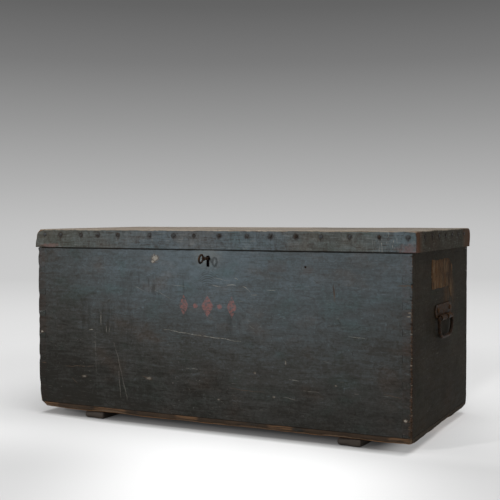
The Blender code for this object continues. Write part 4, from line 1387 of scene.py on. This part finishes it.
def bare_top(s, colour, height):
    """The lid's top is a seat and a bench: its paint is rubbed through to dusty wood in long patches."""
    tones = s.tones
    patch = s.noise(9.0, along_grain("X", 0.22), 131, 5.0, 0.65)
    fibre = s.noise(330.0, along_grain("X", 0.03), 132, 3.0)
    rag = s.noise(60.0, (1, 1, 1), 133, 4.0, 0.65)
    upper = (s.z + (rag - 0.5) * 0.006).ease(lid[1][2] - 0.0030, lid[1][2] - 0.0012)
    paint_left = (patch + (fibre - 0.5) * 0.5 + s.x * 0.22).ease(0.50, 0.70)
    wood = s.mix(fibre.ease(0.45, 0.75) * 0.7, tones.top_wood, tones.stain)
    wood = s.mix(rag.ease(0.54, 0.70) * 0.5, wood, tones.stain)
    share = upper * (1.0 - paint_left * 0.75)
    return s.mix(share, colour, wood), height - share * 0.4


def lid_hollow(s):
    """The paint stops inside the lid."""
    low, high = box("lid_board_front")[0], box("lid_board_back")[1]
    return within(low - (clear, clear, 0.1), (high[0] + clear, high[1] + clear, low[2] + clear))(s)


def add_rust(made, rows, seed, least):
    """Keeps the rust of a rim's nails as the attribute rust."""
    points = np.empty(len(made.data.vertices) * 3, np.float32)
    made.data.vertices.foreach_get("co", points)
    layer = made.data.attributes.new("rust", "FLOAT", "POINT")
    layer.data.foreach_set("value", rust_field(points.reshape(-1, 3), rows, seed, least).astype(np.float32))


class CHEST_OT_lid(bpy.types.Operator):
    """Makes the lid's rims, boards and cleats"""

    bl_idname = "chest.lid"
    bl_label = "Lid"

    def execute(self, context):
        rows = nail_rows()
        ends = (lid[0][2] - clear, lid[0][2] + hinge_leaf_depth)
        link = housing("lock_link_plate", box("lock_link_plate")[1][1] + wall_gap, *ends)
        leaves = [housing(f"hinge_{name}_upper_leaf", lid[1][1] + clear, *ends) for name in hinge_names]
        (left, front, _), (right, back, _) = lid
        depth = front_rim_high[1] - front
        inner_front, inner_back = front + depth + wall_gap, back - depth - wall_gap
        spans = {
            "front": ((left, front), (right, front + depth), "X", [link]),
            "back": ((left, back - depth), (right, back), "X", leaves),
            "left": ((left, inner_front), (left + depth, inner_back), "Y", []),
            "right": ((right - depth, inner_front), (right, inner_back), "Y", []),
        }
        stains = [
            ((left + 0.052, lid[0][2] + 0.006), (0.026, 0.004)),
            ((right - 0.016, lid[0][2] + 0.006), (0.022, 0.010)),
        ]

        def end_grain(s):
            return s.x.size().ease(right - 0.0012, right - 0.0004)

        for i, (name, (low, high, axis, cuts)) in enumerate(spans.items()):
            low, high = np.array((*low, lid[0][2])), np.array((*high, lid[1][2]))
            made = board(f"{name}_rim", low, high, lid_hull, cuts, seed=15, step=0.0032)
            add_rust(made, rows[name][2], 100 + i, 0.1 if axis == "X" else 0.9)
            paint = painted_wood(
                f"{name}_rim_paint", axis, 101, rim_tone_and_shade, ends=end_grain if axis == "X" else None,
                extra=rim_marks(stains if name == "front" else ()), inside=lid_hollow,
                wear_share=0.8, scuffs=0.36, warmth=rim_warmth, busy=0.35,
            )
            dress(made, "lid", "painted_wood", paint, f"lid_{name}_rim")

        for i, place in enumerate(("front", "middle", "back")):
            node = f"lid_board_{place}"
            made = board(f"{place}_lid_board", *box(node), seed=25 + i, step=0.006)
            paint = painted_wood(
                f"{place}_lid_paint", "X", 131 + 5 * i, lambda s: 0.62, extra=bare_top, inside=lid_hollow
            )
            dress(made, "lid", "painted_wood", paint, node)
        for i, name in enumerate(("left", "right")):
            node = f"lid_cleat_{name}"
            made = board(f"{name}_cleat", *box(node), seed=30 + i, step=0.006)
            dress(made, "lid", "bare_pine", bare_wood(f"{name}_cleat_wood", "Y", 151 + i, 0.05), node)
        return {"FINISHED"}


class CHEST_OT_nails(bpy.types.Operator):
    """Makes the clout nails round the lid's rims"""

    bl_idname = "chest.nails"
    bl_label = "Nails"

    def execute(self, context):
        sizes = context.scene.chest_sizes
        shares = np.array((
            (0.0, 0.93), (0.25, 0.95), (0.50, 0.86), (0.72, 0.70), (0.88, 0.45), (0.97, 0.18), (1.0, -0.10),
            (0.97, -0.6), (0.0, -0.6),
        ))
        draw = np.random.default_rng(7)
        for name, (axis, side, centres) in nail_rows().items():
            heads = []
            for i, centre in enumerate(centres):
                radius = sizes.nail_radius * draw.uniform(0.86, 1.0)
                profile = shares * (radius, sizes.nail_dome * draw.uniform(0.7, 1.0) * side)
                grid, *wrap = turned(profile, centre, axis, 24, 0.035, 700 + i)
                lean = draw.uniform(-0.06, 0.06, 2)
                u, v = (k for k in range(3) if "XYZ"[k] != axis)
                tilt = (grid[..., u] - centre[u]) * lean[0] + (grid[..., v] - centre[v]) * lean[1]
                sunk = abs(lean).sum() * radius
                k = "XYZ".index(axis)
                grid[..., k] += tilt - side * sunk
                crown = centre[k] + side * sizes.nail_dome
                held = np.minimum if side > 0 else np.maximum
                grid[..., k] = held(grid[..., k], crown)
                heads.append((grid, *wrap))
            made = gathered(f"{name}_rim_nails", heads, 50)
            dress(made, "lid", "rusty_iron", iron(f"{name}_nail_iron", 171, 0.12, 1.5, 0.55))
        return {"FINISHED"}


# Ironmongery


def screw_head(centre, axis, side, radius, seed):
    """A countersunk screw's head with its slot: a disc whose middle band is sunk."""
    across = np.array((0.0, 0.35, 0.7, 0.92, 1.0, 1.0)) * radius
    levels = np.array((0.25, 0.25, 0.2, 0.1, -0.05, -0.8)) / millimetres * side
    slot_width, slot_depth = 0.32 * radius, 0.0007
    grid, wrap_rows, wrap_columns = turned(np.stack([across, levels], 1), centre, axis, 28, 0.01, seed)
    k = "XYZ".index(axis)
    u, v = (j for j in range(3) if j != k)
    turn = np.random.default_rng(seed).uniform(0, np.pi)
    across = (grid[..., u] - centre[u]) * math.cos(turn) + (grid[..., v] - centre[v]) * math.sin(turn)
    grid[..., k] -= side * np.where(np.abs(across) < slot_width / 2, slot_depth, 0.0)
    return grid, wrap_rows, wrap_columns


def refined(name, node, width):
    """A copy of a small node of the frame with doubles merged, flat faces joined and edges broken."""
    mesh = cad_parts[node].data.copy()
    made = bpy.data.objects.new(name, mesh)
    bpy.context.scene.collection.objects.link(made)
    flat = math.radians(0.5)
    with reworked(mesh) as work:
        bmesh.ops.remove_doubles(work, verts=work.verts, dist=same_point)
        bmesh.ops.dissolve_limit(
            work, angle_limit=flat, verts=work.verts, edges=work.edges, use_dissolve_boundaries=False
        )
    for layer in list(mesh.attributes):
        if layer.name in ("custom_normal", "sharp_face", "sharp_edge"):
            mesh.attributes.remove(layer)
    bevel = made.modifiers.new("broken_edges", "BEVEL")
    bevel.width = width
    bevel.segments = 2
    bevel.limit_method = "ANGLE"
    bevel.angle_limit = math.radians(40)
    mesh.shade_smooth()
    return creased(made, 45)


class CHEST_OT_hinges(bpy.types.Operator):
    """Makes the three butt hinges and their screws"""

    bl_idname = "chest.hinges"
    bl_label = "Hinges"

    def execute(self, context):
        knuckle, bore, pin, play, soft = 0.0045, 0.0025, 0.0022, 0.0005, 0.0003
        for name in hinge_names:
            low, high = box(f"hinge_{name}_lower_leaf")
            axis_y, axis_z = float(high[1]) - knuckle, float(high[2]) - knuckle
            edges = np.linspace(low[0], high[0], 4)
            for leaf, body, own in (("lower", "chest", (0, 2)), ("upper", "lid", (1,))):
                node = f"hinge_{name}_{leaf}_leaf"
                leaf_low, leaf_high = box(node)
                flat = back_high[2] if leaf == "lower" else lid[0][2]
                side = 1 if leaf == "lower" else -1
                plate_z = sorted((flat, flat - side * leaf_thickness))
                cuts = [
                    (
                        (edges[i] - play, axis_y - knuckle - play, plate_z[0] - clear),
                        (edges[i + 1] + play, axis_y + clear, plate_z[1] + clear),
                    )
                    for i in {0, 1, 2} - set(own)
                ]
                plate = board(
                    f"{name}_{leaf}_plate",
                    np.array((leaf_low[0], leaf_low[1], plate_z[0])),
                    np.array((leaf_high[0], axis_y - bore * 0.9, plate_z[1])),
                    None, cuts, seed=33, step=0.004,
                )
                dress(plate, body, "dark_steel", steel(f"{name}_{leaf}_steel", "X", 181), node)
                tubes = []
                for i in own:
                    ring = tube_ring(bore, knuckle, edges[i] + play / 2, edges[i + 1] - play / 2, soft)
                    tubes.append(turned(ring, (0, axis_y, axis_z), "X", 32, closed=True))
                middle_y = (leaf_low[1] + axis_y - knuckle) / 2
                for j, x in enumerate(np.linspace(low[0] + 0.012, high[0] - 0.012, 3)):
                    tubes.append(screw_head((x, middle_y, flat - side * 0.0001), "Z", side, 0.0033, 190 + j))
                made = gathered(f"{name}_{leaf}_knuckles", tubes, 35)
                dress(made, body, "dark_steel", steel(f"{name}_{leaf}_knuckle_steel", "X", 185))
            pin_low, pin_high = box(f"hinge_{name}_pin")
            a, b, head = pin_low[0], pin_high[0], 0.0015
            rivet = ((0, 0), (0.002, 0), (0.0033, 0.0005), (0.0036, 0.001), (0.0034, head), (pin, head))
            profile = [(r, a + up) for r, up in rivet] + [(r, b - up) for r, up in rivet[::-1]]
            made = gathered(f"{name}_hinge_pin", [turned(profile, (0, axis_y, axis_z), "X", 32)], 35)
            dress(made, "chest", "dark_steel", steel(f"{name}_pin_steel", "X", 187), f"hinge_{name}_pin")
        return {"FINISHED"}


class CHEST_OT_lock(bpy.types.Operator):
    """Makes the box lock, its bolt, its screws and the link plate under the lid"""

    bl_idname = "chest.lock"
    bl_label = "Lock"

    def execute(self, context):
        for name, node, body, slot, make in (
            ("box_lock", "lock_case", "chest", "rusty_iron", lambda n: iron(n, 201, 0.35)),
            # The cap gets little rust, so that it looks dark through the keyhole: its own iron, darkened as
            # painted shade.
            ("box_lock_cap", "lock_cap", "chest", "rusty_iron", lambda n: iron(n, 203, 0.25)),
            ("drill_pin", "lock_drill_pin", "chest", "dark_steel", lambda n: steel(n, "Y", 205)),
            ("ward_ring", "lock_ward", "chest", "dark_steel", lambda n: steel(n, "X", 207)),
            ("shot_bolt", "lock_bolt", "lock_bolt", "dark_steel", lambda n: steel(n, "X", 209)),
            ("link_plate", "lock_link_plate", "lid", "rusty_iron", lambda n: iron(n, 211, 0.5)),
        ):
            made = refined(name, node, 0.0002)
            dress(made, body, slot, make(name + "_metal"), node)
        low, high = box("lock_case")
        screws = [
            screw_head((x, high[1] - 0.0001, z), "Y", 1, 0.0030, 220 + 2 * i + j)
            for i, x in enumerate((low[0] + 0.006, high[0] - 0.006))
            for j, z in enumerate((low[2] + 0.006, high[2] - 0.010))
        ]
        dress(gathered("lock_screws", screws, 35), "chest", "dark_steel", steel("lock_screw_steel", "X", 221))
        low, high = box("lock_link_plate")
        screws = [
            screw_head((x, (low[1] + high[1]) / 2, lid[0][2]), "Z", -1, 0.0026, 230 + i)
            for i, x in enumerate((low[0] + 0.007, high[0] - 0.007))
        ]
        dress(gathered("link_screws", screws, 35), "lid", "dark_steel", steel("link_screw_steel", "X", 231))
        return {"FINISHED"}


class CHEST_OT_key(bpy.types.Operator):
    """Makes the key: a turned shank and collar, a ring bow and a warded bit"""

    bl_idname = "chest.key"
    bl_label = "Key"

    def execute(self, context):
        bar = context.scene.chest_sizes.bow_bar
        shank, collar, pipe = 0.0035, 0.0052, 0.0022
        tip, bow_y = float(key_high[1]), float(key_low[1]) + bow_radius + bar
        root = bow_y + bow_radius
        neck = (
            (0, -0.0006), (0.0020, -0.0004), (0.0030, 0.0008), (shank, 0.002), (shank, 0.0024),
            (0.0047, 0.0029), (collar, 0.0037), (0.0050, 0.0047), (0.0041, 0.0053), (shank, 0.0057),
            (shank * 0.985, 0.012),
        )
        mouth = (
            (shank, 0.0005), (shank - 0.0004, 0), (pipe + 0.0002, 0), (pipe, 0.0003), (pipe, 0.008),
            (0, 0.0085),
        )
        profile = [(r, root + up) for r, up in neck] + [(r, tip - up) for r, up in mouth]
        centre = (key_x, 0, key_z)
        round_parts = [turned(profile, centre, "Y", 40, 0.008, 3)]

        turn = np.linspace(0, 2 * np.pi, 72, endpoint=False)
        around = np.linspace(0, 2 * np.pi, 20, endpoint=False)
        out = np.stack([np.zeros_like(turn), -np.cos(turn), np.sin(turn)], axis=1)
        path = np.array((key_x, bow_y, key_z)) + bow_radius * out
        thick = bar * (0.90 + 0.08 * np.cos(turn)) * (1 + 0.015 * np.sin(5 * turn + 1))
        ring = (
            path[:, None, :]
            + thick[:, None, None] * np.cos(around)[None, :, None] * out[:, None, :]
            + thick[:, None, None] * 0.92 * np.sin(around)[None, :, None] * np.array((1.0, 0, 0))
        )
        lean = math.radians(9)
        ring -= centre
        ring = np.stack([
            ring[..., 0] * math.cos(lean) + ring[..., 2] * math.sin(lean),
            ring[..., 1],
            ring[..., 2] * math.cos(lean) - ring[..., 0] * math.sin(lean),
        ], axis=-1) + centre
        round_parts.append((ring, True, True))
        key = gathered("chest_key", round_parts, 38)
        dress(key, "key", "rusty_iron", iron("key_iron", 241, 0.40, 1.6), "key")

        ward_high = box("lock_ward")[1]
        ward_foot = key_z - (float(ward_high[2]) - key_z)
        half, reach, length, play = 0.0013, key_z - float(key_low[2]), 0.0081, 0.0004
        slit = (
            (key_x - 0.01, tip - length - clear, ward_foot - play),
            (key_x + 0.01, float(ward_high[1]) + play, ward_foot + 0.0019),
        )
        bit = board(
            "key_bit",
            np.array((key_x - half, tip - length, key_z - reach)),
            np.array((key_x + half, tip, key_z - shank * 0.8)),
            None, [slit], seed=35, step=0.0012,
        )
        dress(bit, "key", "rusty_iron", iron("bit_iron", 243, 0.5, 1.6))
        return {"FINISHED"}


def bail_line(half, drop, bend, sweep):
    """The bail from one inner end to the other, as (along, down): straight, a close bend, an arm and a wide
    bend to the bar, mirrored about the middle."""
    first = np.linspace(np.pi / 2, 0, 12)
    second = np.linspace(0, -np.pi / 2, 20)
    side = np.concatenate([
        np.stack([np.linspace(0.010, half - bend, 10, endpoint=False), np.zeros(10)], 1),
        np.stack([half - bend + bend * np.cos(first), -bend + bend * np.sin(first)], 1),
        np.stack([half - sweep + sweep * np.cos(second), sweep - drop + sweep * np.sin(second)], 1),
    ])
    return np.concatenate([side, side[::-1] * (-1, 1)])


class CHEST_OT_handles(bpy.types.Operator):
    """Makes the two drop handles: rolled plates, bails and rivets"""

    bl_idname = "chest.handles"
    bl_label = "Handles"

    def execute(self, context):
        bar = context.scene.chest_sizes.bail_bar
        bend, sweep = 0.0072, 0.030
        thick, corner = 0.0025, 0.010
        roll_inset, roll_short, soft = 0.007, 0.023, 0.0006
        dome, shank, rove = 0.0028, 0.003, 0.0015
        for name, side in (("left", -1), ("right", 1)):
            low, high = box(f"{name}_bail")
            centre = (low + high) / 2
            pivot = float(high[2]) - bar
            half = float(high[1] - low[1]) / 2 - bar
            drop = pivot - float(low[2]) - bar
            line = bail_line(half, drop, bend, sweep)
            path = (centre[0], centre[1], pivot) + line @ ((0, 1, 0), (0, 0, 1))
            made = gathered(f"{name}_drop_bail", [swept(path, bar * 0.96, (1.0, 0, 0), 22, 0.02, 250)], 60)
            dress(made, f"{name}_bail", "rusty_iron", iron(f"{name}_bail_iron", 251, 0.45), f"{name}_bail")

            plate_low, plate_high = box(f"{name}_handle_plate")
            face = side * abs(front_high[0])
            x = sorted((face + side * wall_gap, face + side * (wall_gap + thick)))
            wide, tall = (plate_high[1] - plate_low[1]) / 2, plate_high[2] - pivot

            def clipped(points, wide=wide, tall=tall, pivot=pivot, y=centre[1]):
                """Narrows the plate towards its low and high edge, so that its corners are cut off."""
                rise = (points[:, 2] - pivot) / tall
                edge = np.clip(np.abs(rise - 0.5) * tall - (tall / 2 - corner), 0, corner)
                moved = points.copy()
                moved[:, 1] = y + (points[:, 1] - y) * (wide - edge) / wide
                return moved

            plate = board(
                f"{name}_back_plate",
                np.array((x[0], centre[1] - wide, pivot)),
                np.array((x[1], centre[1] + wide, plate_high[2])),
                None, (), shift=clipped, seed=37, step=0.003,
            )
            dress(plate, "chest", "rusty_iron", iron(f"{name}_plate_iron", 261, 0.6), f"{name}_handle_plate")

            outer = pivot - float(plate_low[2])
            bore = bar + 0.00045
            axis = np.array((centre[0], 0, pivot))
            rolls = []
            for along in (-1, 1):
                a, b = sorted((centre[1] + along * roll_inset, centre[1] + along * (wide - roll_short)))
                ring = tube_ring(bore, outer, a, b, soft, np.linspace(a + 0.004, b - 0.004, 8))
                grid, *wrap = turned(ring, axis, "Y", 36, closed=True)
                away = (grid - axis) * (1, 0, 1)
                share = np.clip((np.linalg.norm(away, axis=-1) - bore) / (outer - bore), 0, 1)
                share *= 0.02 * np.clip(waves(grid, 0.012, 270 + along) + 0.6, 0, 2)
                grid = grid - away * share[..., None]
                rolls.append((grid, *wrap))
            made = gathered(f"{name}_plate_rolls", rolls, 38)
            dress(made, "chest", "rusty_iron", iron(f"{name}_roll_iron", 265, 0.55))

            for part in ("front", "back"):
                node = f"{name}_handle_rivet_{part}"
                rivet_low, rivet_high = box(node)
                y, z = (rivet_low[1] + rivet_high[1]) / 2, (rivet_low[2] + rivet_high[2]) / 2
                ends = (rivet_high[0], rivet_low[0]) if side > 0 else (rivet_low[0], rivet_high[0])
                top, foot = (float(v) for v in ends)
                head = float(rivet_high[1] - rivet_low[1]) / 2
                domed = (
                    (0, 0), (0.35, 0.05), (0.62, 0.20), (0.84, 0.45), (0.96, 0.72), (1.0, 0.95), (0.97, 1.0)
                )
                flat = ((0.95, 1.0), (0.98, 0.5), (0.7, 0), (0, 0))
                profile = [
                    *((head * r, top - side * dome * down) for r, down in domed), (shank, top - side * dome),
                    (shank, foot + side * rove), *((head * r, foot + side * rove * up) for r, up in flat),
                ]
                made = gathered(f"{name}_{part}_rivet", [turned(profile, (0, y, z), "X", 32, 0.02, 280)], 40)
                dress(made, "chest", "rusty_iron", iron(f"{name}_{part}_rivet_iron", 285, 0.7), node)
        return {"FINISHED"}


class CHEST_OT_tills(bpy.types.Operator):
    """Makes the two sliding tills and the runners that carry them"""

    bl_idname = "chest.tills"
    bl_label = "Tills and runners"

    def execute(self, context):
        for i, level in enumerate(("upper", "lower")):
            for j, name in enumerate(("left", "right")):
                node = f"{level}_runner_{name}"
                made = board(f"{level}_{name}_runner", *box(node), seed=301, step=0.008)
                wood = bare_wood(f"{level}_{name}_runner_wood", "Y", 301 + 4 * i + j, 0.12)
                dress(made, "chest", "bare_pine", wood, node)
            for j, (place, axis) in enumerate(
                (("front", "X"), ("back", "X"), ("left_end", "Y"), ("right_end", "Y"), ("bottom", "X"))
            ):
                node = f"{level}_till_{place}"
                low, high = box(node)

                def rubbed(points, low=low, high=high, seed=311 + 10 * i + j):
                    return (low, high), wear(points, (low, high), 0.0008, (), seed)

                made = board(f"{level}_tray_{place}", low, high, rubbed, seed=311 + 10 * i + j, step=0.007)
                wood = bare_wood(f"{level}_tray_{place}_wood", axis, 321 + 10 * i + 2 * j, -0.04)
                dress(made, f"{level}_till", "bare_pine", wood, node)
        return {"FINISHED"}


# Where the label starts and ends on the right end.
label_y = (-0.072, 0.110)
label_z = (0.348, 0.416)


class CHEST_OT_label(bpy.types.Operator):
    """Makes the torn scrap of blank paper on the right end"""

    bl_idname = "chest.label"
    bl_label = "Paper label"

    def execute(self, context):
        thick = context.scene.chest_sizes.paper
        (y0, y1), (z0, z1) = label_y, label_z
        u, v = np.meshgrid(np.linspace(0, 1, 130), np.linspace(0, 1, 60), indexing="ij")
        flat = np.stack([u * 0.2, v * 0.2, np.zeros_like(u)], axis=-1)
        ragged = 0.0009 * waves(flat, 0.030, 401) + 0.0006 * waves(flat, 0.009, 402)
        tail = 0.030 * np.exp(-(((u - 0.93) / 0.07) ** 2))
        torn = 0.022 * np.clip((u - 0.80) / 0.2, 0, 1) ** 1.5
        low = z0 - tail + ragged
        high = z1 - torn + ragged[::-1]
        y = y0 + (y1 - y0) * u + 0.0020 * waves(flat + 3, 0.02, 403) * (2 * np.abs(u - 0.5)) ** 4
        z = low + (high - low) * v
        lift = 0.0004 * np.clip(waves(flat, 0.05, 404), 0, 1)
        rim = np.minimum(np.minimum(u, 1 - u) * 60, np.minimum(v, 1 - v) * 30).clip(0, 1)
        face = front_high[0]
        front = np.stack([face + (thick + lift) * np.sqrt(rim), y, z], axis=-1)
        back = np.stack([np.full_like(y, face - 0.0008), y, z], axis=-1)[:, ::-1]
        made = gathered("paper_label", [(np.concatenate([front, back], axis=1), False, True)], 50)
        with reworked(made.data) as work:
            bmesh.ops.holes_fill(work, edges=[e for e in work.edges if e.is_boundary], sides=0)
            bmesh.ops.recalc_face_normals(work, faces=work.faces)

        s = Sketch("label_paper")
        tones = s.tones
        fibre = s.noise(230.0, (1, 1, 0.10), 411, 4.0, 0.6, 0.8)
        blot = s.noise(30.0, (1, 1, 0.5), 412, 5.0, 0.65)
        right = s.y.ease(y0 + 0.02, y1 - 0.02)
        share = fibre + (blot - 0.5) * 0.7
        colour = s.ramp(
            share, (0.36, tones.grime), (0.66, tones.paper_pale), (0.46, tones.paper), (0.56, tones.paper)
        )
        darker = (s.noise(150.0, (1, 1, 0.14), 413, 4.0, 0.65, 0.8) + right * 0.10).ease(0.52, 0.64)
        colour = s.mix(darker * 0.85, colour, tones.grime)
        colour = s.mix(right * blot.ease(0.40, 0.60) * 0.35, colour, tones.paper_pale)
        s.finish(colour, 0.85, fibre * 0.5 + blot, 0.0003, specular=0.05)
        dress(made, "chest", "painted_wood", s.material)
        return {"FINISHED"}


def area_light(name, place, target, size, power):
    """A round lamp at a place, turned to a target."""
    data = bpy.data.lights.new(name, "AREA")
    data.shape = "DISK"
    data.size = size
    data.energy = power
    made = bpy.data.objects.new(name, data)
    made.location = place
    made.rotation_euler = (Vector(target) - Vector(place)).to_track_quat("-Z", "Y").to_euler()
    bpy.context.scene.collection.objects.link(made)
    return made


class CHEST_OT_stage(bpy.types.Operator):
    """Makes the floor and the backdrop, with painted light and a painted contact shadow in their glow and
    colour, the lights and the camera
    """

    bl_idname = "chest.stage"
    bl_label = "Stage"

    def execute(self, context):
        stage = context.scene.chest_stage
        scene = context.scene
        scene.view_settings.view_transform = "Standard"

        floor_reach, floor_rows, bend, tall = 4.6, 30, 1.6, 5.0
        turn = np.linspace(0.1, np.pi / 2, 16)
        flat = np.concatenate([np.linspace(0, floor_reach, floor_rows), floor_reach + bend * np.sin(turn)])
        rise = np.concatenate([np.zeros(floor_rows), bend * (1 - np.cos(turn))])
        profile = np.stack([np.append(flat, flat[-1]), np.append(rise, tall)], axis=1)
        sweep = gathered("studio_bowl", [turned(profile, (0, 0, 0), "Z", 96)], 80)
        sweep.data.flip_normals()
        # The bowl glows as well as it is lit: its glow is painted light that stands in for the studio's light
        # on the paper.
        s = Sketch("studio_paper")
        away = s.vector("LENGTH", s.vector("MULTIPLY", s.place, (1, 1, 0)), output="Value")
        far = away.ease(0.55, 1.7)
        greys = (
            (0.0, 204), (1.0, 80), (0.097, 198), (0.15, 192), (0.27, 175), (0.45, 149), (0.625, 121),
            (0.79, 100),
        )
        # Painted falloff: the backdrop's glow darkens upwards, and the far floor's with distance.
        wall = s.ramp(s.z / 3.0, *((place, srgb(grey, grey, grey)) for place, grey in greys))
        ground = s.mix(away.ease(1.0, 6.0), srgb(228, 228, 228), srgb(204, 204, 204))
        glow = s.mix(s.z.ease(0.0, 0.05), ground, wall)
        turn = stage.camera_turn[2]
        across = (s.x - 0.25) * math.cos(turn) + (s.y + 0.50) * math.sin(turn)
        deep = (s.y + 0.50) * math.cos(turn) - (s.x - 0.25) * math.sin(turn)
        aside = (across * across + deep * deep * 0.12) ** 0.5
        # A painted pool of light on the floor: lightest near a spot in front of the chest, greyer to the
        # sides.
        paper = s.mix(aside.ease(0.08, 0.55), tuple(stage.floor_colour), srgb(219, 219, 219))
        # Painted shade: the floor darkens towards the sides, nearer the camera.
        corner = across.size().ease(0.10, 0.50) * deep.ease(0.45, 0.0)
        paper = s.tinted(corner * 0.24, paper, (0.0, 0.0, 0.0))
        # A painted contact shadow: darkest under the chest's front, fading out a few centimetres in front of
        # its foot; under keeps it to the chest's width and front half, weaker at the left end.
        inward = (s.x.ease(-0.50, -0.25) * 0.018 + 0.020 + s.y - front_low[1]) / 0.15
        shades = ((0.03, 1.0), (1.0, 0.05), (0.16, 0.63), (0.333, 0.33), (0.533, 0.19), (0.80, 0.08))
        contact_shadow = s.ramp(inward, *((place, (grey,) * 3) for place, grey in shades))
        reach = carcase[1][0]
        under = s.x.ease(reach + 0.005, reach - 0.020) * s.x.ease(-reach - 0.01, -reach + 0.01)
        under = under * s.y.ease(0.05, -0.08) * (s.x.ease(-reach, -reach + 0.12) * 0.4 + 0.6)
        contact_shadow = s.mix(under, (1.0, 1.0, 1.0), contact_shadow)
        # Near the chest, the glow carries the painted contact shadow.
        near_glow_and_shadow = s.vector("MULTIPLY", s.tinted(1.0, paper, (0.32, 0.32, 0.32)), contact_shadow)
        # Painted light: a stronger glow beside the right end lifts the shadow there.
        beside = s.x.ease(reach - 0.10, reach - 0.02) * s.x.ease(1.0, 0.65) * s.y.ease(-0.30, -0.20)
        near_glow_and_shadow = s.mix(beside, near_glow_and_shadow, s.tinted(1.0, paper, (0.44, 0.44, 0.44)))
        glow = s.mix(far, near_glow_and_shadow, glow)
        # The paper's own colour carries the painted contact shadow too.
        paper = s.vector("MULTIPLY", s.tinted(1.0, paper, (0.72, 0.72, 0.72)), contact_shadow)
        paper = s.mix(far, paper, (0.0, 0.0, 0.0))
        s.finish(paper, 0.9, specular=0.0)
        s.put(s.shader.inputs["Emission Color"], glow)
        s.put(s.shader.inputs["Emission Strength"], 1.0)
        sweep.data.materials.append(s.material)

        area_light("key_light", (-1.45, -2.95, 1.10), (0.0, -0.2, 0.26), 0.13, stage.key_power)
        area_light("top_light", (0.55, -0.35, 3.0), (0.55, -0.35, 0.0), 3.0, stage.top_power)
        world = bpy.data.worlds.new("room")
        scene.world = world
        world.use_nodes = True
        room = world.node_tree.nodes["Background"].inputs
        room["Color"].default_value = (1, 1, 1, 1)
        room["Strength"].default_value = stage.room_light

        sensor_width, frame_pixels = 36.0, 500
        data = bpy.data.cameras.new("camera")
        data.sensor_width = sensor_width
        data.lens = stage.focal_pixels * sensor_width / frame_pixels
        camera = bpy.data.objects.new("camera", data)
        scene.collection.objects.link(camera)
        pitch, roll, turn = stage.camera_turn
        aim = Matrix.Rotation(turn, 4, "Z") @ Matrix.Rotation(math.pi / 2 + pitch, 4, "X")
        look = aim @ Matrix.Rotation(roll, 4, "Z")
        camera.matrix_world = Matrix.Translation(stage.camera_place) @ look
        scene.camera = camera
        return {"FINISHED"}


operators = (
    CHEST_OT_walls, CHEST_OT_bottom, CHEST_OT_lid, CHEST_OT_nails, CHEST_OT_hinges, CHEST_OT_lock,
    CHEST_OT_key, CHEST_OT_handles, CHEST_OT_tills, CHEST_OT_label, CHEST_OT_stage,
)


class CHEST_PT_panel(bpy.types.Panel):
    """Lists the chest's operators and settings"""

    bl_idname = "CHEST_PT_panel"
    bl_label = "Joiner's tool chest"
    bl_space_type = "VIEW_3D"
    bl_region_type = "UI"
    bl_category = "Chest"

    def draw(self, context):
        column = self.layout.column()
        for operator in operators:
            column.operator(operator.bl_idname)
        for group in (context.scene.chest_sizes, context.scene.chest_colours, context.scene.chest_stage):
            fields = self.layout.box()
            for name in group.bl_rna.properties.keys():
                if name not in ("rna_type", "name"):
                    fields.prop(group, name)


groups = {"chest_sizes": ChestSizes, "chest_colours": ChestColours, "chest_stage": ChestStage}


def register():
    for made in (*groups.values(), *operators, CHEST_PT_panel):
        bpy.utils.register_class(made)
    for name, group in groups.items():
        setattr(bpy.types.Scene, name, bpy.props.PointerProperty(type=group))


def unregister():
    for name in groups:
        delattr(bpy.types.Scene, name)
    for made in (CHEST_PT_panel, *reversed(operators), *reversed(tuple(groups.values()))):
        bpy.utils.unregister_class(made)


def main():
    """Registers the classes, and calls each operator."""
    register()
    for operator in operators:
        family, name = operator.bl_idname.split(".")
        getattr(getattr(bpy.ops, family), name)()


if __name__ == "__main__":
    main()
